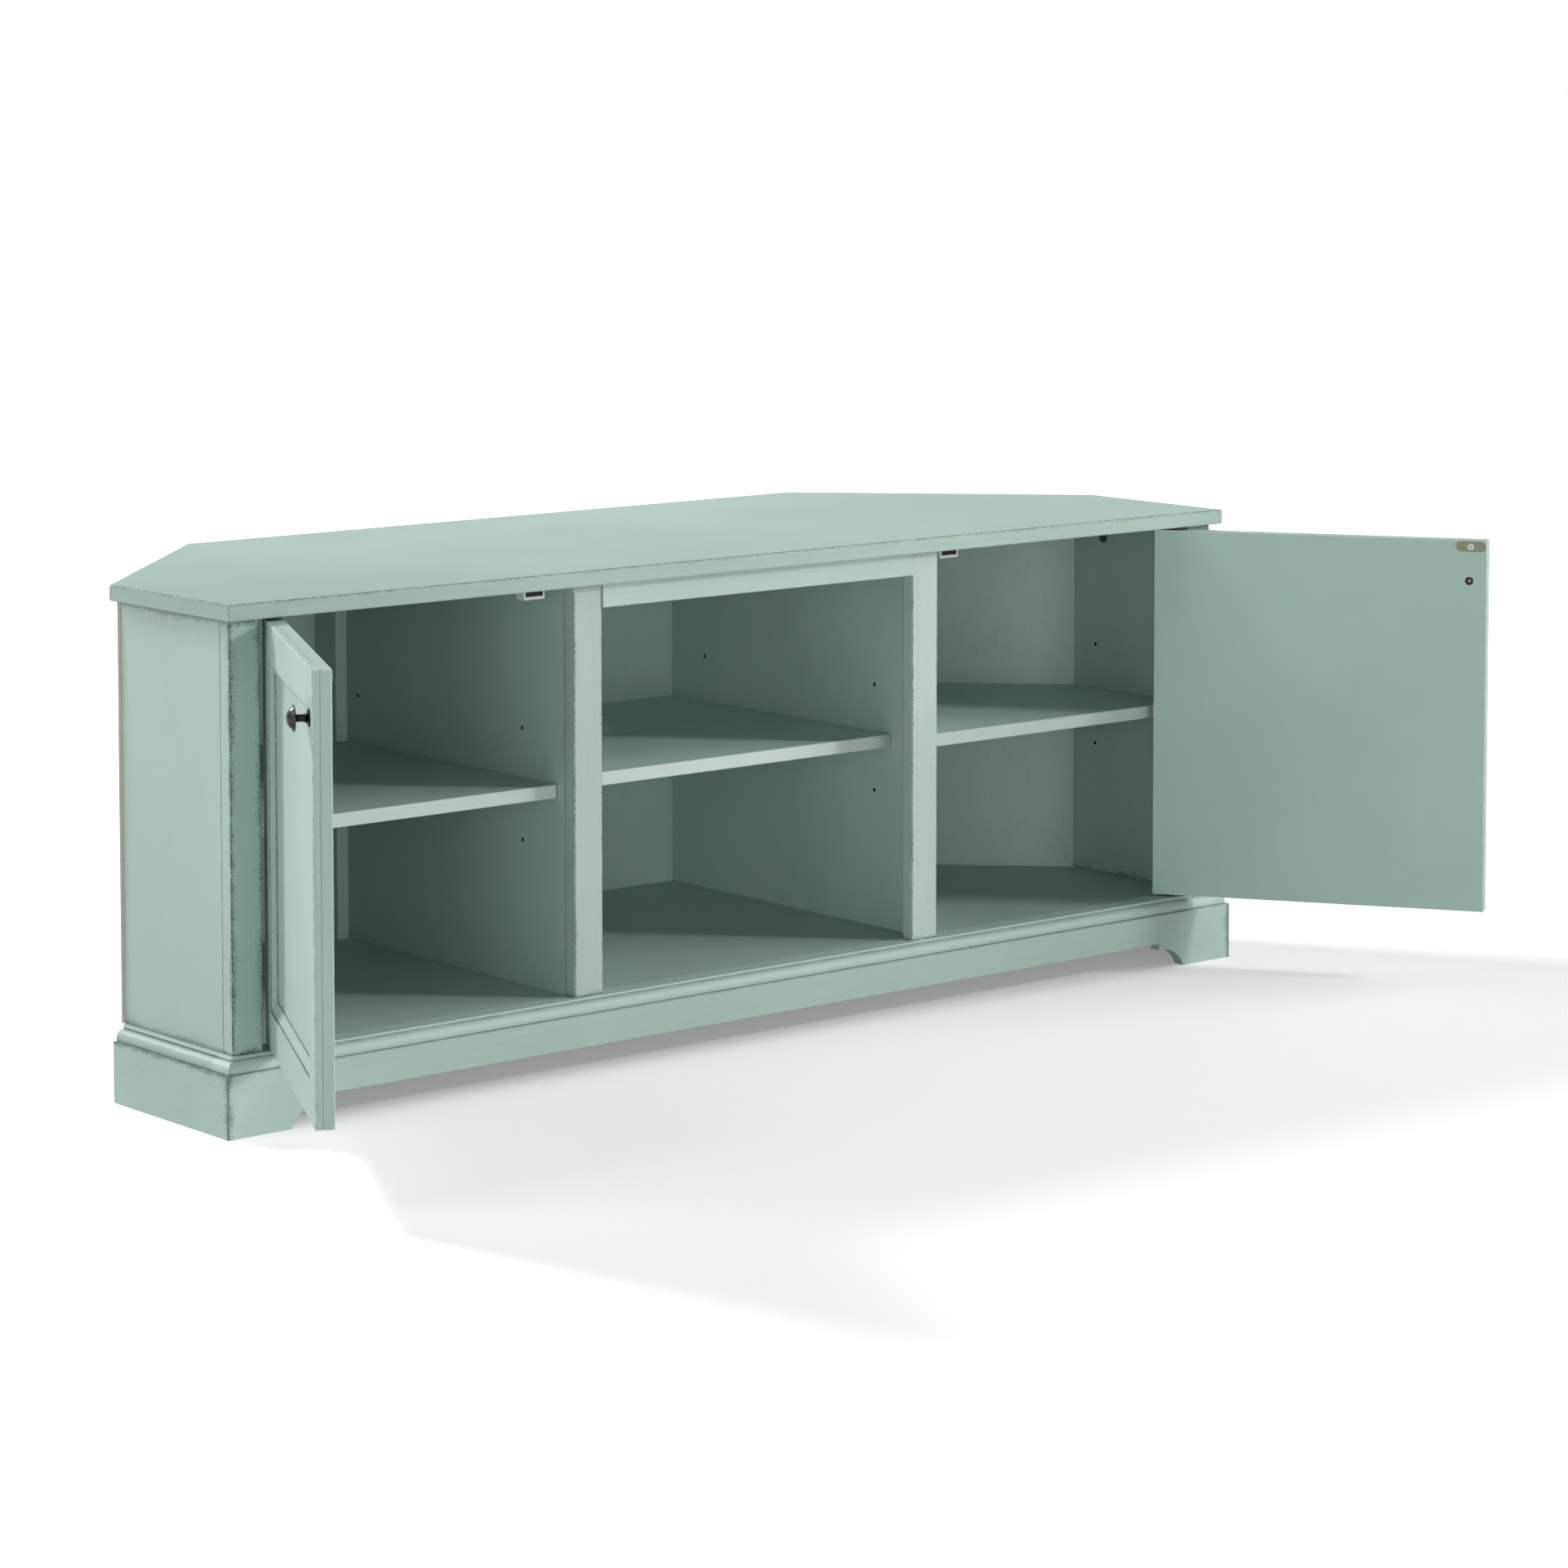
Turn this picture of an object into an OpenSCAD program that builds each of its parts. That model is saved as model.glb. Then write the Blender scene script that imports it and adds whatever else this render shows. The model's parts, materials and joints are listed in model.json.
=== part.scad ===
// Corner media stand: a wide cabinet whose back corners are cut off at 45 degrees to fit a room corner.
// It has three bays behind a face frame, the outer two with inset doors on pivot pins, and a plinth with
// bracket feet. Millimetres. X runs along the front, Y from the front to the back, Z up. The origin is on the
// floor, under the middle of the back plinth. Every place along Y is measured from the top's front edge, and
// place() moves the finished pieces to the origin. The doors stand open.

/* [Overall] */
// Height from the floor to the top's surface
height = 566; // [500:1:720]
// Width of the top along its front edge
top_w = 1473; // [1300:1:1700]
// Depth of the top from its front edge to its back edge
top_d = 511; // [460:1:600]
// Straight run of the top's side edge, before the 45 degree edge
top_side = 233; // [200:1:280]
// Thickness of the top
top_t = 18; // [15:0.5:30]
// Radius that eases the top's edges
top_edge_r = 2; // [1:0.5:6]
// Overhang of the top past the face frame
overhang_front = 13; // [8:0.5:25]
// Overhang of the top past the side panels
overhang_side = 9; // [4:0.5:20]
// Overhang of the top past the back panels
overhang_back = 8; // [4:0.5:20]

/* [Carcass] */
// Thickness of the side panels and dividers
panel_t = 15; // [15:0.5:22]
// Thickness of the bottom panel
bottom_t = 16; // [15:0.5:22]
// Thickness of the back panels
back_t = 4; // [3:0.5:9]
// Thickness of the face frame
frame_t = 18; // [15:0.5:24]
// Width of the outer stiles of the face frame
stile_w = 38.5; // [30:0.5:60]
// Width of the mullions between the bays
mullion_w = 40; // [32:0.5:60]
// Radius on the upright arrises of the mullions
mullion_edge_r = 2.5; // [0.5:0.5:4]
// Clear width of the middle bay between its mullions
middle_open_w = 464; // [360:1:540]
// Height of the rail over the middle bay
rail_h = 27; // [20:0.5:50]
// How far that rail stands in front of the mullions
rail_proud = 2; // [0:0.5:5]
// Chamfer that eases the arrises of the boards
arris = 0.8; // [0.3:0.1:1.5]
// Width of the cleats behind the dividers
cleat_w = 16; // [12:0.5:30]
// Depth of those cleats
cleat_d = 43; // [25:0.5:60]
// Diameter of the cable holes in the middle back panel
cable_hole_d = 50; // [35:1:70]
// Distance of the cable holes from the middle, negative to the left
cable_hole_x = -75; // [-120:5:120]
// Height of the upper cable hole's centre above the bottom panel
cable_high = 350; // [320:1:380]
// Height of the lower cable hole's centre above the bottom panel
cable_low = 70; // [50:1:120]

/* [Base] */
// Height of the plinth
plinth_h = 68; // [60:0.5:90]
// Thickness of the plinth boards
plinth_t = 15; // [12:0.5:22]
// How far the plinth stands out from the body
plinth_proud = 20; // [18:0.5:26]
// How far the side plinths stop short of the side panels' back ends
plinth_side_short = 7; // [5:0.5:20]
// Height of the gap under the front apron
apron_gap = 32; // [24:0.5:40]
// Width of a bracket foot at the floor
foot_w = 80; // [65:1:110]
// Radius of the curve above a bracket foot
foot_r = 40; // [32:1:50]
// Height of the small step at the end of that curve
foot_step = 8; // [4:0.5:12]
// Length of the flat beside that step
foot_flat = 6; // [3:0.5:12]
// Height of the stretchers under the dividers
stretcher_h = 30; // [20:1:34]
// Leg length of the corner blocks
block_leg = 40; // [25:1:60]
// Height of the corner blocks
block_h = 50; // [30:1:56]

/* [Base edge] */
// How far the bottom panel's moulded edge stands out from the body
edge_proud = 16; // [15:0.5:18]
// Height of the upright flat at the foot of that edge
edge_flat_h = 3.6; // [2:0.1:4.4]
// Chamfer under that flat
edge_ease = 0.8; // [0.3:0.1:1.5]
// Radius of the quarter round
edge_round_r = 8.5; // [6:0.1:9]
// Radius of the bead at the top
edge_bead_r = 1.5; // [1:0.1:1.9]
// Distance of the bead's centre from the body
edge_bead_in = 5.8; // [4:0.1:6.5]

/* [Shelves] */
// Thickness of the shelves
shelf_t = 15.5; // [12:0.5:22]
// Height of the shelf pins' axis above the bottom panel
shelf_pin_h = 230; // [200:1:260]
// Height of the shelf pins' axis above the shelf's underside
pin_above_underside = 8; // [6:0.5:9]
// Distance between the rows of pin holes
pin_pitch = 64; // [32:1:80]
// Distance from the frame's front to the front edge of the outer shelves
side_shelf_set = 32; // [28:0.5:60]
// Distance from the frame's front to the front edge of the middle shelf
middle_shelf_set = 66; // [28:0.5:90]
// Gap round a shelf's ends
shelf_gap = 1.5; // [1.3:0.1:3]
// Diameter of the pin holes
pin_hole_d = 5; // [4:0.5:6]
// Depth of the pin holes
pin_hole_depth = 7; // [5:0.1:7.2]
// Width of a shelf support's plate
support_w = 12; // [9:0.5:16]
// Thickness of that plate
support_t = 1.1; // [0.8:0.1:1.2]
// Length of the tongue that carries the shelf
tongue_l = 10; // [8:0.5:14]
// Thickness of that tongue
tongue_t = 1.5; // [1:0.1:2.5]
// Distance from the top's front edge to the front pin holes in the dividers
divider_pin_front = 110; // [100:1:140]
// Distance from the cleats to the back pin holes in the dividers
divider_pin_back = 22; // [12:1:76]
// Distance from the top's front edge to the front pin holes in the side panels
side_pin_front = 64; // [60:1:90]
// Distance from the side panels' back ends to their back pin holes
side_pin_back = 24; // [16:1:60]

/* [Doors] */
// Gap between a door and the frame at each side
door_gap = 2; // [1.5:0.1:4]
// Gap above a door
door_top_gap = 4; // [2:0.1:6]
// Gap below a door
door_bottom_gap = 3; // [2:0.1:8]
// Thickness of a door's inner slab
slab_t = 12; // [9:0.5:16]
// Thickness of the frame on the slab's front
door_frame_t = 8; // [6:0.5:10]
// Width of a door's stiles
door_stile_w = 42; // [36:0.5:60]
// Width of a door's rails
door_rail_w = 41; // [36:0.5:60]
// Width of the moulding inside a door's frame
mould_w = 11.5; // [8:0.5:16]
// Thickness of that moulding's thin inner edge
mould_lip = 1.6; // [1:0.1:3]
// Radius of that moulding's bead
mould_bead_r = 1.7; // [1:0.1:2]
// Distance from a door's hinge edge to its pivot
pivot_in = 18.5; // [17:0.5:24]
// Distance from a door's front face to its pivot
pivot_back = 8; // [6.5:0.1:8.5]
// Angle at which the left door stands open
left_open = 117; // [0:0.5:125]
// Angle at which the right door stands open
right_open = 123; // [0:0.5:125]

/* [Pivots] */
// Diameter of a pivot pin
pivot_d = 6; // [4:0.5:6]
// Radial clearance of a pivot pin in its socket and its bush
pivot_clear = 0.05; // [0.02:0.01:0.1]
// Length of a pin inside its socket
pivot_tail = 7; // [4:0.5:7]
// Gap between the end of a pin and the bottom of its socket
pivot_end_gap = 0.5; // [0.2:0.1:0.8]
// Outer diameter of the bush that holds a pin in the door
bush_d = 10; // [8:0.5:11]
// Length of that bush inside the door
bush_l = 20; // [14:1:26]
// Diameter of the bush's collar, which spaces the door
collar_d = 13; // [11.5:0.5:13.5]
// Running gap between a collar and the socket that it turns on
collar_gap = 0.2; // [0.1:0.05:0.3]
// Outer diameter of a socket in the top or the bottom panel
socket_d = 11; // [9:0.5:13]
// Depth of a socket
socket_depth = 9; // [8:0.5:10]
// Diameter of a socket's flange
flange_d = 17; // [14:0.5:19]
// Thickness of that flange, let in flush
flange_t = 1.2; // [0.8:0.1:2]

/* [Knobs] */
// Diameter of a knob's head
knob_d = 27.5; // [22:0.5:34]
// Height of a knob from the door to its crown
knob_h = 23; // [20:0.5:32]
// Thickness of a knob's head at its crown
knob_head_t = 8.5; // [6:0.5:12]
// Thickness of the rim round that head
knob_rim_t = 1.8; // [1:0.1:2.5]
// Width of the rim's ledge round the dome
knob_rim_w = 1.4; // [0.5:0.1:3]
// Diameter of a knob's neck
knob_neck_d = 7.5; // [6:0.1:10]
// Diameter of a knob's foot
knob_foot_d = 18.5; // [14:0.5:22]
// Distance from a door's free edge to its knob
knob_in = 21.5; // [19:0.5:26]
// Distance from a door's top to its knob
knob_down = 50; // [45:1:120]
// Diameter of a knob screw
knob_screw_d = 3.8; // [3:0.1:4]
// Diameter of the counterbore for that screw's head
knob_bore_d = 10; // [9:0.5:12]
// Depth of that counterbore
knob_bore_depth = 4; // [3:0.5:6]

/* [Catches] */
// Width of a magnetic catch
catch_w = 28.5; // [24:0.5:40]
// Depth of a magnetic catch
catch_d = 14; // [12:0.5:20]
// Height of a magnetic catch
catch_h = 14; // [12:0.5:18]
// Distance from the mullion's bay side to the catch's middle
catch_in = 38; // [24:0.5:60]
// Width of the magnet
magnet_w = 24; // [16:0.5:25]
// Height of the magnet
magnet_h = 7; // [4:0.5:8]
// Depth of the magnet
magnet_d = 9; // [6:0.5:9.5]
// Gap between the magnet and the strike plate when a door is closed
catch_gap = 1; // [0.6:0.1:2]
// Length of a strike plate
strike_l = 35.5; // [28:0.5:38]
// Width of a strike plate
strike_w = 12; // [10:0.5:14]
// Thickness of a strike plate
strike_t = 1.5; // [1:0.1:2]
// Distance from a door's free edge to the strike plate's end
strike_in = 2; // [1:0.1:8]
// Distance from a door's top to the strike plate's edge
strike_down = 2; // [1:0.1:3]
// Diameter of the strike plate's screw head
strike_head_d = 7.5; // [6:0.1:8]
// Diameter of the strike and catch screws
small_screw_d = 3; // [2.5:0.1:3.5]

/* [Cam fittings] */
// Diameter of a cam lock
cam_d = 15; // [12:0.5:16]
// Depth of a cam lock's hole
cam_depth = 12; // [11:0.1:12.5]
// Distance from a panel's top edge to a cam lock's centre
cam_down = 31; // [24:0.5:40]
// Diameter of a cam bolt
cam_bolt_d = 6; // [5:0.1:6.5]
// Length of a cam bolt inside the top
cam_bolt_grip = 11; // [8:0.5:12]
// Clearance round the cam fittings
cam_clear = 0.1; // [0.05:0.05:0.2]
// Distance from the top's front edge to the front cam locks in the side panels
side_cam_front = 64; // [60:1:90]
// Distance from the side panels' back ends to their back cam locks
side_cam_back = 37; // [28:1:70]
// Distance from the top's front edge to the front cam locks in the dividers
divider_cam_front = 90; // [70:1:140]
// Distance from the dividers' back ends to their back cam locks
divider_cam_back = 59; // [39:1:119]

/* [Dowels] */
// Diameter of the dowels
dowel_d = 8; // [6:0.5:8]
// Length of a dowel in the top, the bottom panel or a mullion
dowel_in = 11; // [8:0.5:12]
// Length of a dowel in the piece that stands on it or ends at it
dowel_out = 19; // [14:0.5:24]

/* [Hidden] */
$fn = 48;
cut = 1;
root2 = sqrt(2);

// Heights of the horizontal boards
floor_z = plinth_h + bottom_t;
roof_z = height - top_t;
body_h = roof_z - floor_z;

// Outline of the body inside its back panels; diagonal is x + y on the 45 degree planes
half_w = top_w / 2;
body_x = half_w - overhang_side;
front_y = overhang_front;
back_y = top_d - overhang_back - back_t;
top_diagonal = half_w + top_side;
diagonal = top_diagonal - (overhang_back + back_t) * root2;
side_end_y = diagonal - body_x;
back_corner_x = diagonal - back_y;

// Face frame and bays
frame_back_y = front_y + frame_t;
stile_in_x = body_x - stile_w;
mullion_in_x = middle_open_w / 2;
mullion_out_x = mullion_in_x + mullion_w;
divider_in_x = mullion_out_x - panel_t;
side_in_x = body_x - panel_t;
cleat_y = back_y - cleat_d;

// Plinth
plinth_x = body_x + plinth_proud;
plinth_in_x = plinth_x - plinth_t;
plinth_y = front_y - plinth_proud;
plinth_end_y = side_end_y - plinth_side_short;
plinth_in_y = plinth_y + plinth_t;
plinth_diagonal_in = diagonal - plinth_t * root2;
plinth_back_in_y = back_y - plinth_t;
plinth_back_in_x = plinth_diagonal_in - plinth_back_in_y;
foot_x = plinth_x - foot_w;
foot_top_z = apron_gap - foot_step;
foot_arc_z = foot_top_z - foot_r;
foot_arc_x = foot_x - sqrt(foot_r * foot_r - foot_arc_z * foot_arc_z);

// Shelves and their pins
pin_z = floor_z + shelf_pin_h;
shelf_z = pin_z - pin_above_underside;
pin_rows = [-1, 0, 1];

// Dowels
post_y = front_y + frame_t / 2;
rail_y = post_y - rail_proud;
stile_mid_x = (stile_in_x + body_x) / 2;
mullion_mid_x = (mullion_in_x + mullion_out_x) / 2;
divider_mid_x = divider_in_x + panel_t / 2;
side_mid_x = side_in_x + panel_t / 2;

// Doors, in the left bay when closed; the right one is its mirror image
door_t = slab_t + door_frame_t;
door_hinge_x = -stile_in_x + door_gap;
door_free_x = -mullion_out_x - door_gap;
door_z0 = floor_z + door_bottom_gap;
door_z1 = roof_z - door_top_gap;
door_back_y = front_y + door_t;
door_face_y = front_y + door_frame_t;
door_panel_x0 = door_hinge_x + door_stile_w;
door_panel_x1 = door_free_x - door_stile_w;
door_panel_z0 = door_z0 + door_rail_w;
door_panel_z1 = door_z1 - door_rail_w;
pivot_x = door_hinge_x + pivot_in;
pivot_y = front_y + pivot_back;
pivot_hole_d = pivot_d + 2 * pivot_clear;
knob_x = door_free_x - knob_in;
knob_z = door_z1 - knob_down;
catch_y = door_back_y + strike_t + catch_gap;
catch_x = mullion_out_x + catch_in;
catch_screw_y = catch_y + catch_d - small_screw_d;
catch_screw_grip = 8;
magnet_z = roof_z - (catch_h + magnet_h) / 2;
strike_screw_y = door_face_y + 2;
strike_x = door_free_x - strike_in - strike_l / 2;
strike_z = door_z1 - strike_down - strike_w / 2;
cam_z = roof_z - cam_down;

// Distances from the top's front edge of each row along a panel
divider_pins = [divider_pin_front, cleat_y - divider_pin_back];
side_pins = [side_pin_front, side_end_y - side_pin_back];
side_cams = [side_cam_front, side_end_y - side_cam_back];
divider_cam_last = back_y - divider_cam_back;
divider_cams = [divider_cam_front, (divider_cam_front + divider_cam_last) / 2, divider_cam_last];

// Paint and metal colours
paint = [0.67, 0.75, 0.71];
paint_light = [0.71, 0.79, 0.75];
paint_shade = [0.55, 0.64, 0.60];
board_back = [0.44, 0.52, 0.48];
raw_board = [0.71, 0.66, 0.56];
bronze = [0.40, 0.38, 0.34];
steel = [0.62, 0.62, 0.60];
white_plastic = [0.92, 0.92, 0.88];
dark_metal = [0.20, 0.21, 0.21];

// Six-sided plan of a board: half width, front, back and the value of x + y on its cut corners
function plan(x, y0, y1, d) = [[-x, y0], [x, y0], [x, d - x], [d - y1, y1], [y1 - d, y1], [-x, d - x]];

// Rectangle with its four corners cut by e
function eased_rectangle(x0, x1, y0, y1, e) = [
    [x0 + e, y0], [x1 - e, y0], [x1, y0 + e], [x1, y1 - e],
    [x1 - e, y1], [x0 + e, y1], [x0, y1 - e], [x0, y0 + e]
];

// Moves the pieces so that the origin lies under the middle of the back plinth
module place() {
    translate([0, plinth_t / 2 - back_y, 0]) children();
}

// Copies its children to both sides
module both_sides() {
    children();
    mirror([1, 0, 0]) children();
}

// Upright board with eased arrises
module upright(x0, x1, y0, y1, z0, z1) {
    translate([0, 0, z0]) linear_extrude(z1 - z0) polygon(eased_rectangle(x0, x1, y0, y1, arris));
}

// Board that runs along X, with its four long arrises eased
module crossways(x0, x1, y0, y1, z0, z1) {
    translate([x0, 0, 0]) rotate([90, 0, 90]) linear_extrude(x1 - x0)
        polygon(eased_rectangle(y0, y1, z0, z1, arris));
}

// Upright cylinder from z0 to z1
module pillar(x, y, z0, z1, d) {
    translate([x, y, z0]) cylinder(h = z1 - z0, d = d);
}

// Cylinder along X from x0 to x1
module along_x(x0, x1, y, z, d) {
    translate([x0, y, z]) rotate([0, 90, 0]) cylinder(h = x1 - x0, d = d);
}

// Cylinder along Y from y0 to y1
module along_y(y0, y1, x, z, d) {
    translate([x, y1, z]) rotate([90, 0, 0]) cylinder(h = y1 - y0, d = d);
}

// Square cutter that chamfers an edge along X at y and z
module arris_cutter(x0, x1, y, z) {
    translate([x0, y, z]) rotate([45, 0, 0]) translate([0, -arris / root2, -arris / root2])
        cube([x1 - x0, arris * root2, arris * root2]);
}

// Dowels between the bottom panel and the side panels and dividers
module panel_dowels() {
    both_sides() {
        for (y = side_cams) pillar(side_mid_x, y, floor_z - dowel_in, floor_z + dowel_out, dowel_d);
        for (y = divider_cams) pillar(divider_mid_x, y, floor_z - dowel_in, floor_z + dowel_out, dowel_d);
    }
}

// Dowels at both ends of the stiles and mullions
module post_dowels() {
    both_sides() for (x = [mullion_mid_x, stile_mid_x]) {
        pillar(x, post_y, floor_z - dowel_in, floor_z + dowel_out, dowel_d);
        pillar(x, post_y, roof_z - dowel_out, roof_z + dowel_in, dowel_d);
    }
}

// Dowels between the middle rail and the mullions
module rail_dowels() {
    both_sides() along_x(mullion_in_x - dowel_out, mullion_in_x + dowel_in, rail_y, roof_z - rail_h / 2,
        dowel_d);
}

// Turns a closed left door, or a piece of it, to its open place
module left_swing() {
    translate([pivot_x, pivot_y, 0]) rotate(-left_open) translate([-pivot_x, -pivot_y, 0]) children();
}

// The same piece on the right door
module right_swing() {
    mirror([1, 0, 0]) translate([pivot_x, pivot_y, 0]) rotate(-right_open)
        translate([-pivot_x, -pivot_y, 0]) children();
}

// Outside of a socket let into the panel above or below z; over lengthens it past the panel's face
module socket_form(z, above, over) {
    for (ring = [[socket_d, socket_depth], [flange_d, flange_t]])
        pillar(pivot_x, pivot_y, above ? z - over : z - ring[1], above ? z + ring[1] : z + over, ring[0]);
}

// Holes in a door's ends for the bushes
module bush_holes() {
    pillar(pivot_x, pivot_y, door_z0 - cut, door_z0 + bush_l, bush_d);
    pillar(pivot_x, pivot_y, door_z1 - bush_l, door_z1 + cut, bush_d);
}

// Cutter that rounds a board's upper edge from p to q at height z; the board lies to the left of that line
module round_cutter(p, q, z, r) {
    translate([p[0], p[1], z]) rotate(atan2(q[1] - p[1], q[0] - p[0])) translate([-r, 0, 0])
        rotate([90, 0, 90]) linear_extrude(norm(q - p) + 2 * r) difference() {
            translate([-cut, -r]) square([r + cut, r + cut]);
            translate([r, -r]) circle(r);
        }
}

module top_panel() {
    points = plan(half_w, 0, top_d, top_diagonal);
    middle_z = roof_z + top_t / 2;
    color(paint_light) difference() {
        translate([0, 0, roof_z]) linear_extrude(top_t) polygon(points);
        for (i = [0:len(points) - 1]) {
            p = points[i];
            q = points[(i + 1) % len(points)];
            round_cutter(p, q, height, top_edge_r);
            translate([0, 0, 2 * middle_z]) mirror([0, 0, 1]) round_cutter(p, q, height, top_edge_r);
        }
        both_sides() socket_form(roof_z, true, cut);
        both_sides() for (y = side_cams) cam_bolt_hole(side_mid_x, y);
        both_sides() for (y = divider_cams) cam_bolt_hole(divider_mid_x, y);
        both_sides() pillar(catch_x, catch_screw_y, roof_z - cut, roof_z + catch_screw_grip, small_screw_d);
        post_dowels();
    }
}

// Hole in the top's underside for a cam bolt
module cam_bolt_hole(x, y) {
    pillar(x, y, roof_z - cut, roof_z + cam_bolt_grip, cam_bolt_d);
}

// What the cutter takes off the bottom panel's edge; x is the distance from the body, y the height
module edge_waste() {
    round_x = edge_proud - edge_round_r;
    difference() {
        translate([edge_bead_in, edge_flat_h])
            square([edge_proud - edge_bead_in + cut, bottom_t - edge_flat_h + cut]);
        translate([round_x, edge_flat_h]) circle(edge_round_r);
        square([round_x, edge_flat_h + edge_round_r]);
        translate([edge_bead_in, bottom_t - edge_bead_r]) circle(edge_bead_r);
    }
    polygon([
        [edge_proud - edge_ease - cut, -cut], [edge_proud + cut, -cut],
        [edge_proud + cut, edge_ease + cut]
    ]);
}

module bottom_panel() {
    x = body_x + edge_proud;
    y = front_y - edge_proud;
    outline = [
        [-x, y], [x, y], [x, plinth_end_y], [diagonal - plinth_end_y, plinth_end_y],
        [back_corner_x, back_y], [-back_corner_x, back_y],
        [plinth_end_y - diagonal, plinth_end_y], [-x, plinth_end_y]
    ];
    color(paint) difference() {
        translate([0, 0, plinth_h]) linear_extrude(bottom_t) polygon(outline);
        translate([-x - cut, front_y, plinth_h]) rotate([90, 0, 90]) linear_extrude(2 * (x + cut))
            mirror([1, 0]) edge_waste();
        both_sides() translate([body_x, plinth_end_y + cut, plinth_h]) rotate([90, 0, 0])
            linear_extrude(plinth_end_y + cut - y + cut) edge_waste();
        both_sides() socket_form(floor_z, false, cut);
        panel_dowels();
        post_dowels();
    }
}

// Side panel on the right; the back end is cut to the diagonal
module side_panel() {
    color(paint) difference() {
        translate([0, 0, floor_z]) linear_extrude(body_h) polygon([
            [side_in_x, frame_back_y], [body_x, frame_back_y],
            [body_x, side_end_y], [side_in_x, side_end_y + panel_t]
        ]);
        for (y = side_pins, row = pin_rows)
            along_x(side_in_x - cut, side_in_x + pin_hole_depth, y, pin_z + row * pin_pitch, pin_hole_d);
        for (y = side_cams) {
            along_x(side_in_x - cut, side_in_x + cam_depth, y, cam_z, cam_d);
            pillar(side_mid_x, y, cam_z, roof_z + cut, cam_bolt_d + 2 * cam_clear);
        }
        panel_dowels();
    }
}

module left_side_panel() { mirror([1, 0, 0]) side_panel(); }
module right_side_panel() { side_panel(); }

// Divider from x to x + panel_t, with its cam locks on the side that faces +X
module divider(x) {
    color(paint_shade) difference() {
        translate([x, frame_back_y, floor_z]) cube([panel_t, back_y - frame_back_y, body_h]);
        for (y = divider_pins, row = pin_rows) {
            along_x(x - cut, x + pin_hole_depth, y, pin_z + row * pin_pitch, pin_hole_d);
            along_x(x + panel_t - pin_hole_depth, x + panel_t + cut, y, pin_z + row * pin_pitch,
                pin_hole_d);
        }
        for (y = divider_cams) {
            along_x(x + panel_t - cam_depth, x + panel_t + cut, y, cam_z, cam_d);
            pillar(x + panel_t / 2, y, cam_z, roof_z + cut, cam_bolt_d + 2 * cam_clear);
        }
        panel_dowels();
    }
}

module left_divider() { divider(-mullion_out_x); }
module right_divider() { divider(divider_in_x); }

module frame_post(x0, x1) {
    color(paint) difference() {
        upright(x0, x1, front_y, frame_back_y, floor_z, roof_z);
        post_dowels();
        rail_dowels();
    }
}

module left_stile() { frame_post(-body_x, -stile_in_x); }
module right_stile() { frame_post(stile_in_x, body_x); }

// What is left over outside a rounded arris; the corner is at the origin and the post behind it
module arris_waste(r) {
    difference() {
        translate([-cut, -cut]) square(r + cut);
        translate([r, r]) circle(r);
    }
}

// Mullion on the right, with its upright arrises rounded
module mullion() {
    difference() {
        frame_post(mullion_in_x, mullion_out_x);
        for (x = [0, 1], y = [0, 1])
            translate([x ? mullion_out_x : mullion_in_x, y ? frame_back_y : front_y, floor_z - cut])
                mirror([x, 0, 0]) mirror([0, y, 0]) linear_extrude(body_h + 2 * cut)
                    arris_waste(mullion_edge_r);
    }
}

module left_mullion() { mirror([1, 0, 0]) mullion(); }
module right_mullion() { mullion(); }

module middle_rail() {
    color(paint) difference() {
        crossways(-mullion_in_x, mullion_in_x, front_y - rail_proud, frame_back_y - rail_proud,
            roof_z - rail_h, roof_z);
        rail_dowels();
    }
}

// Shelf of the given plan, with its front arrises eased
module shelf(points, front, x0, x1) {
    color(paint_light) difference() {
        translate([0, 0, shelf_z]) linear_extrude(shelf_t) polygon(points);
        for (z = [shelf_z, shelf_z + shelf_t]) arris_cutter(x0 - cut, x1 + cut, front, z);
    }
}

// Shelf of the right bay, notched round the cleat
module side_shelf() {
    x0 = mullion_out_x + shelf_gap;
    x1 = side_in_x - shelf_gap;
    y0 = front_y + side_shelf_set;
    y1 = back_y - shelf_gap;
    d = diagonal - shelf_gap * root2;
    notch_x = mullion_out_x + cleat_w + shelf_gap;
    notch_y = cleat_y - shelf_gap;
    shelf([
        [x0, y0], [x1, y0], [x1, d - x1], [d - y1, y1],
        [notch_x, y1], [notch_x, notch_y], [x0, notch_y]
    ], y0, x0, x1);
}

module left_shelf() { mirror([1, 0, 0]) side_shelf(); }
module right_shelf() { side_shelf(); }

module middle_shelf() {
    x = divider_in_x - shelf_gap;
    y0 = front_y + middle_shelf_set;
    y1 = back_y - shelf_gap;
    shelf([[-x, y0], [x, y0], [x, y1], [-x, y1]], y0, -x, x);
}

// Shelf support on a panel face at x = 0 that looks towards +X: pin, plate and tongue
module shelf_support(y) {
    plate_top = pin_z + pin_hole_d;
    tongue_z = shelf_z - tongue_t;
    along_x(-pin_hole_depth + 0.5, support_t, y, pin_z, pin_hole_d);
    translate([0, y - support_w / 2, tongue_z]) cube([support_t, support_w, plate_top - tongue_z]);
    translate([0, y - support_w / 2, tongue_z]) cube([tongue_l, support_w, tongue_t]);
}

module shelf_supports() {
    color(steel) both_sides() {
        for (y = divider_pins) {
            translate([mullion_out_x, 0, 0]) shelf_support(y);
            translate([divider_in_x, 0, 0]) mirror([1, 0, 0]) shelf_support(y);
        }
        for (y = side_pins) translate([side_in_x, 0, 0]) mirror([1, 0, 0]) shelf_support(y);
    }
}

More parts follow.
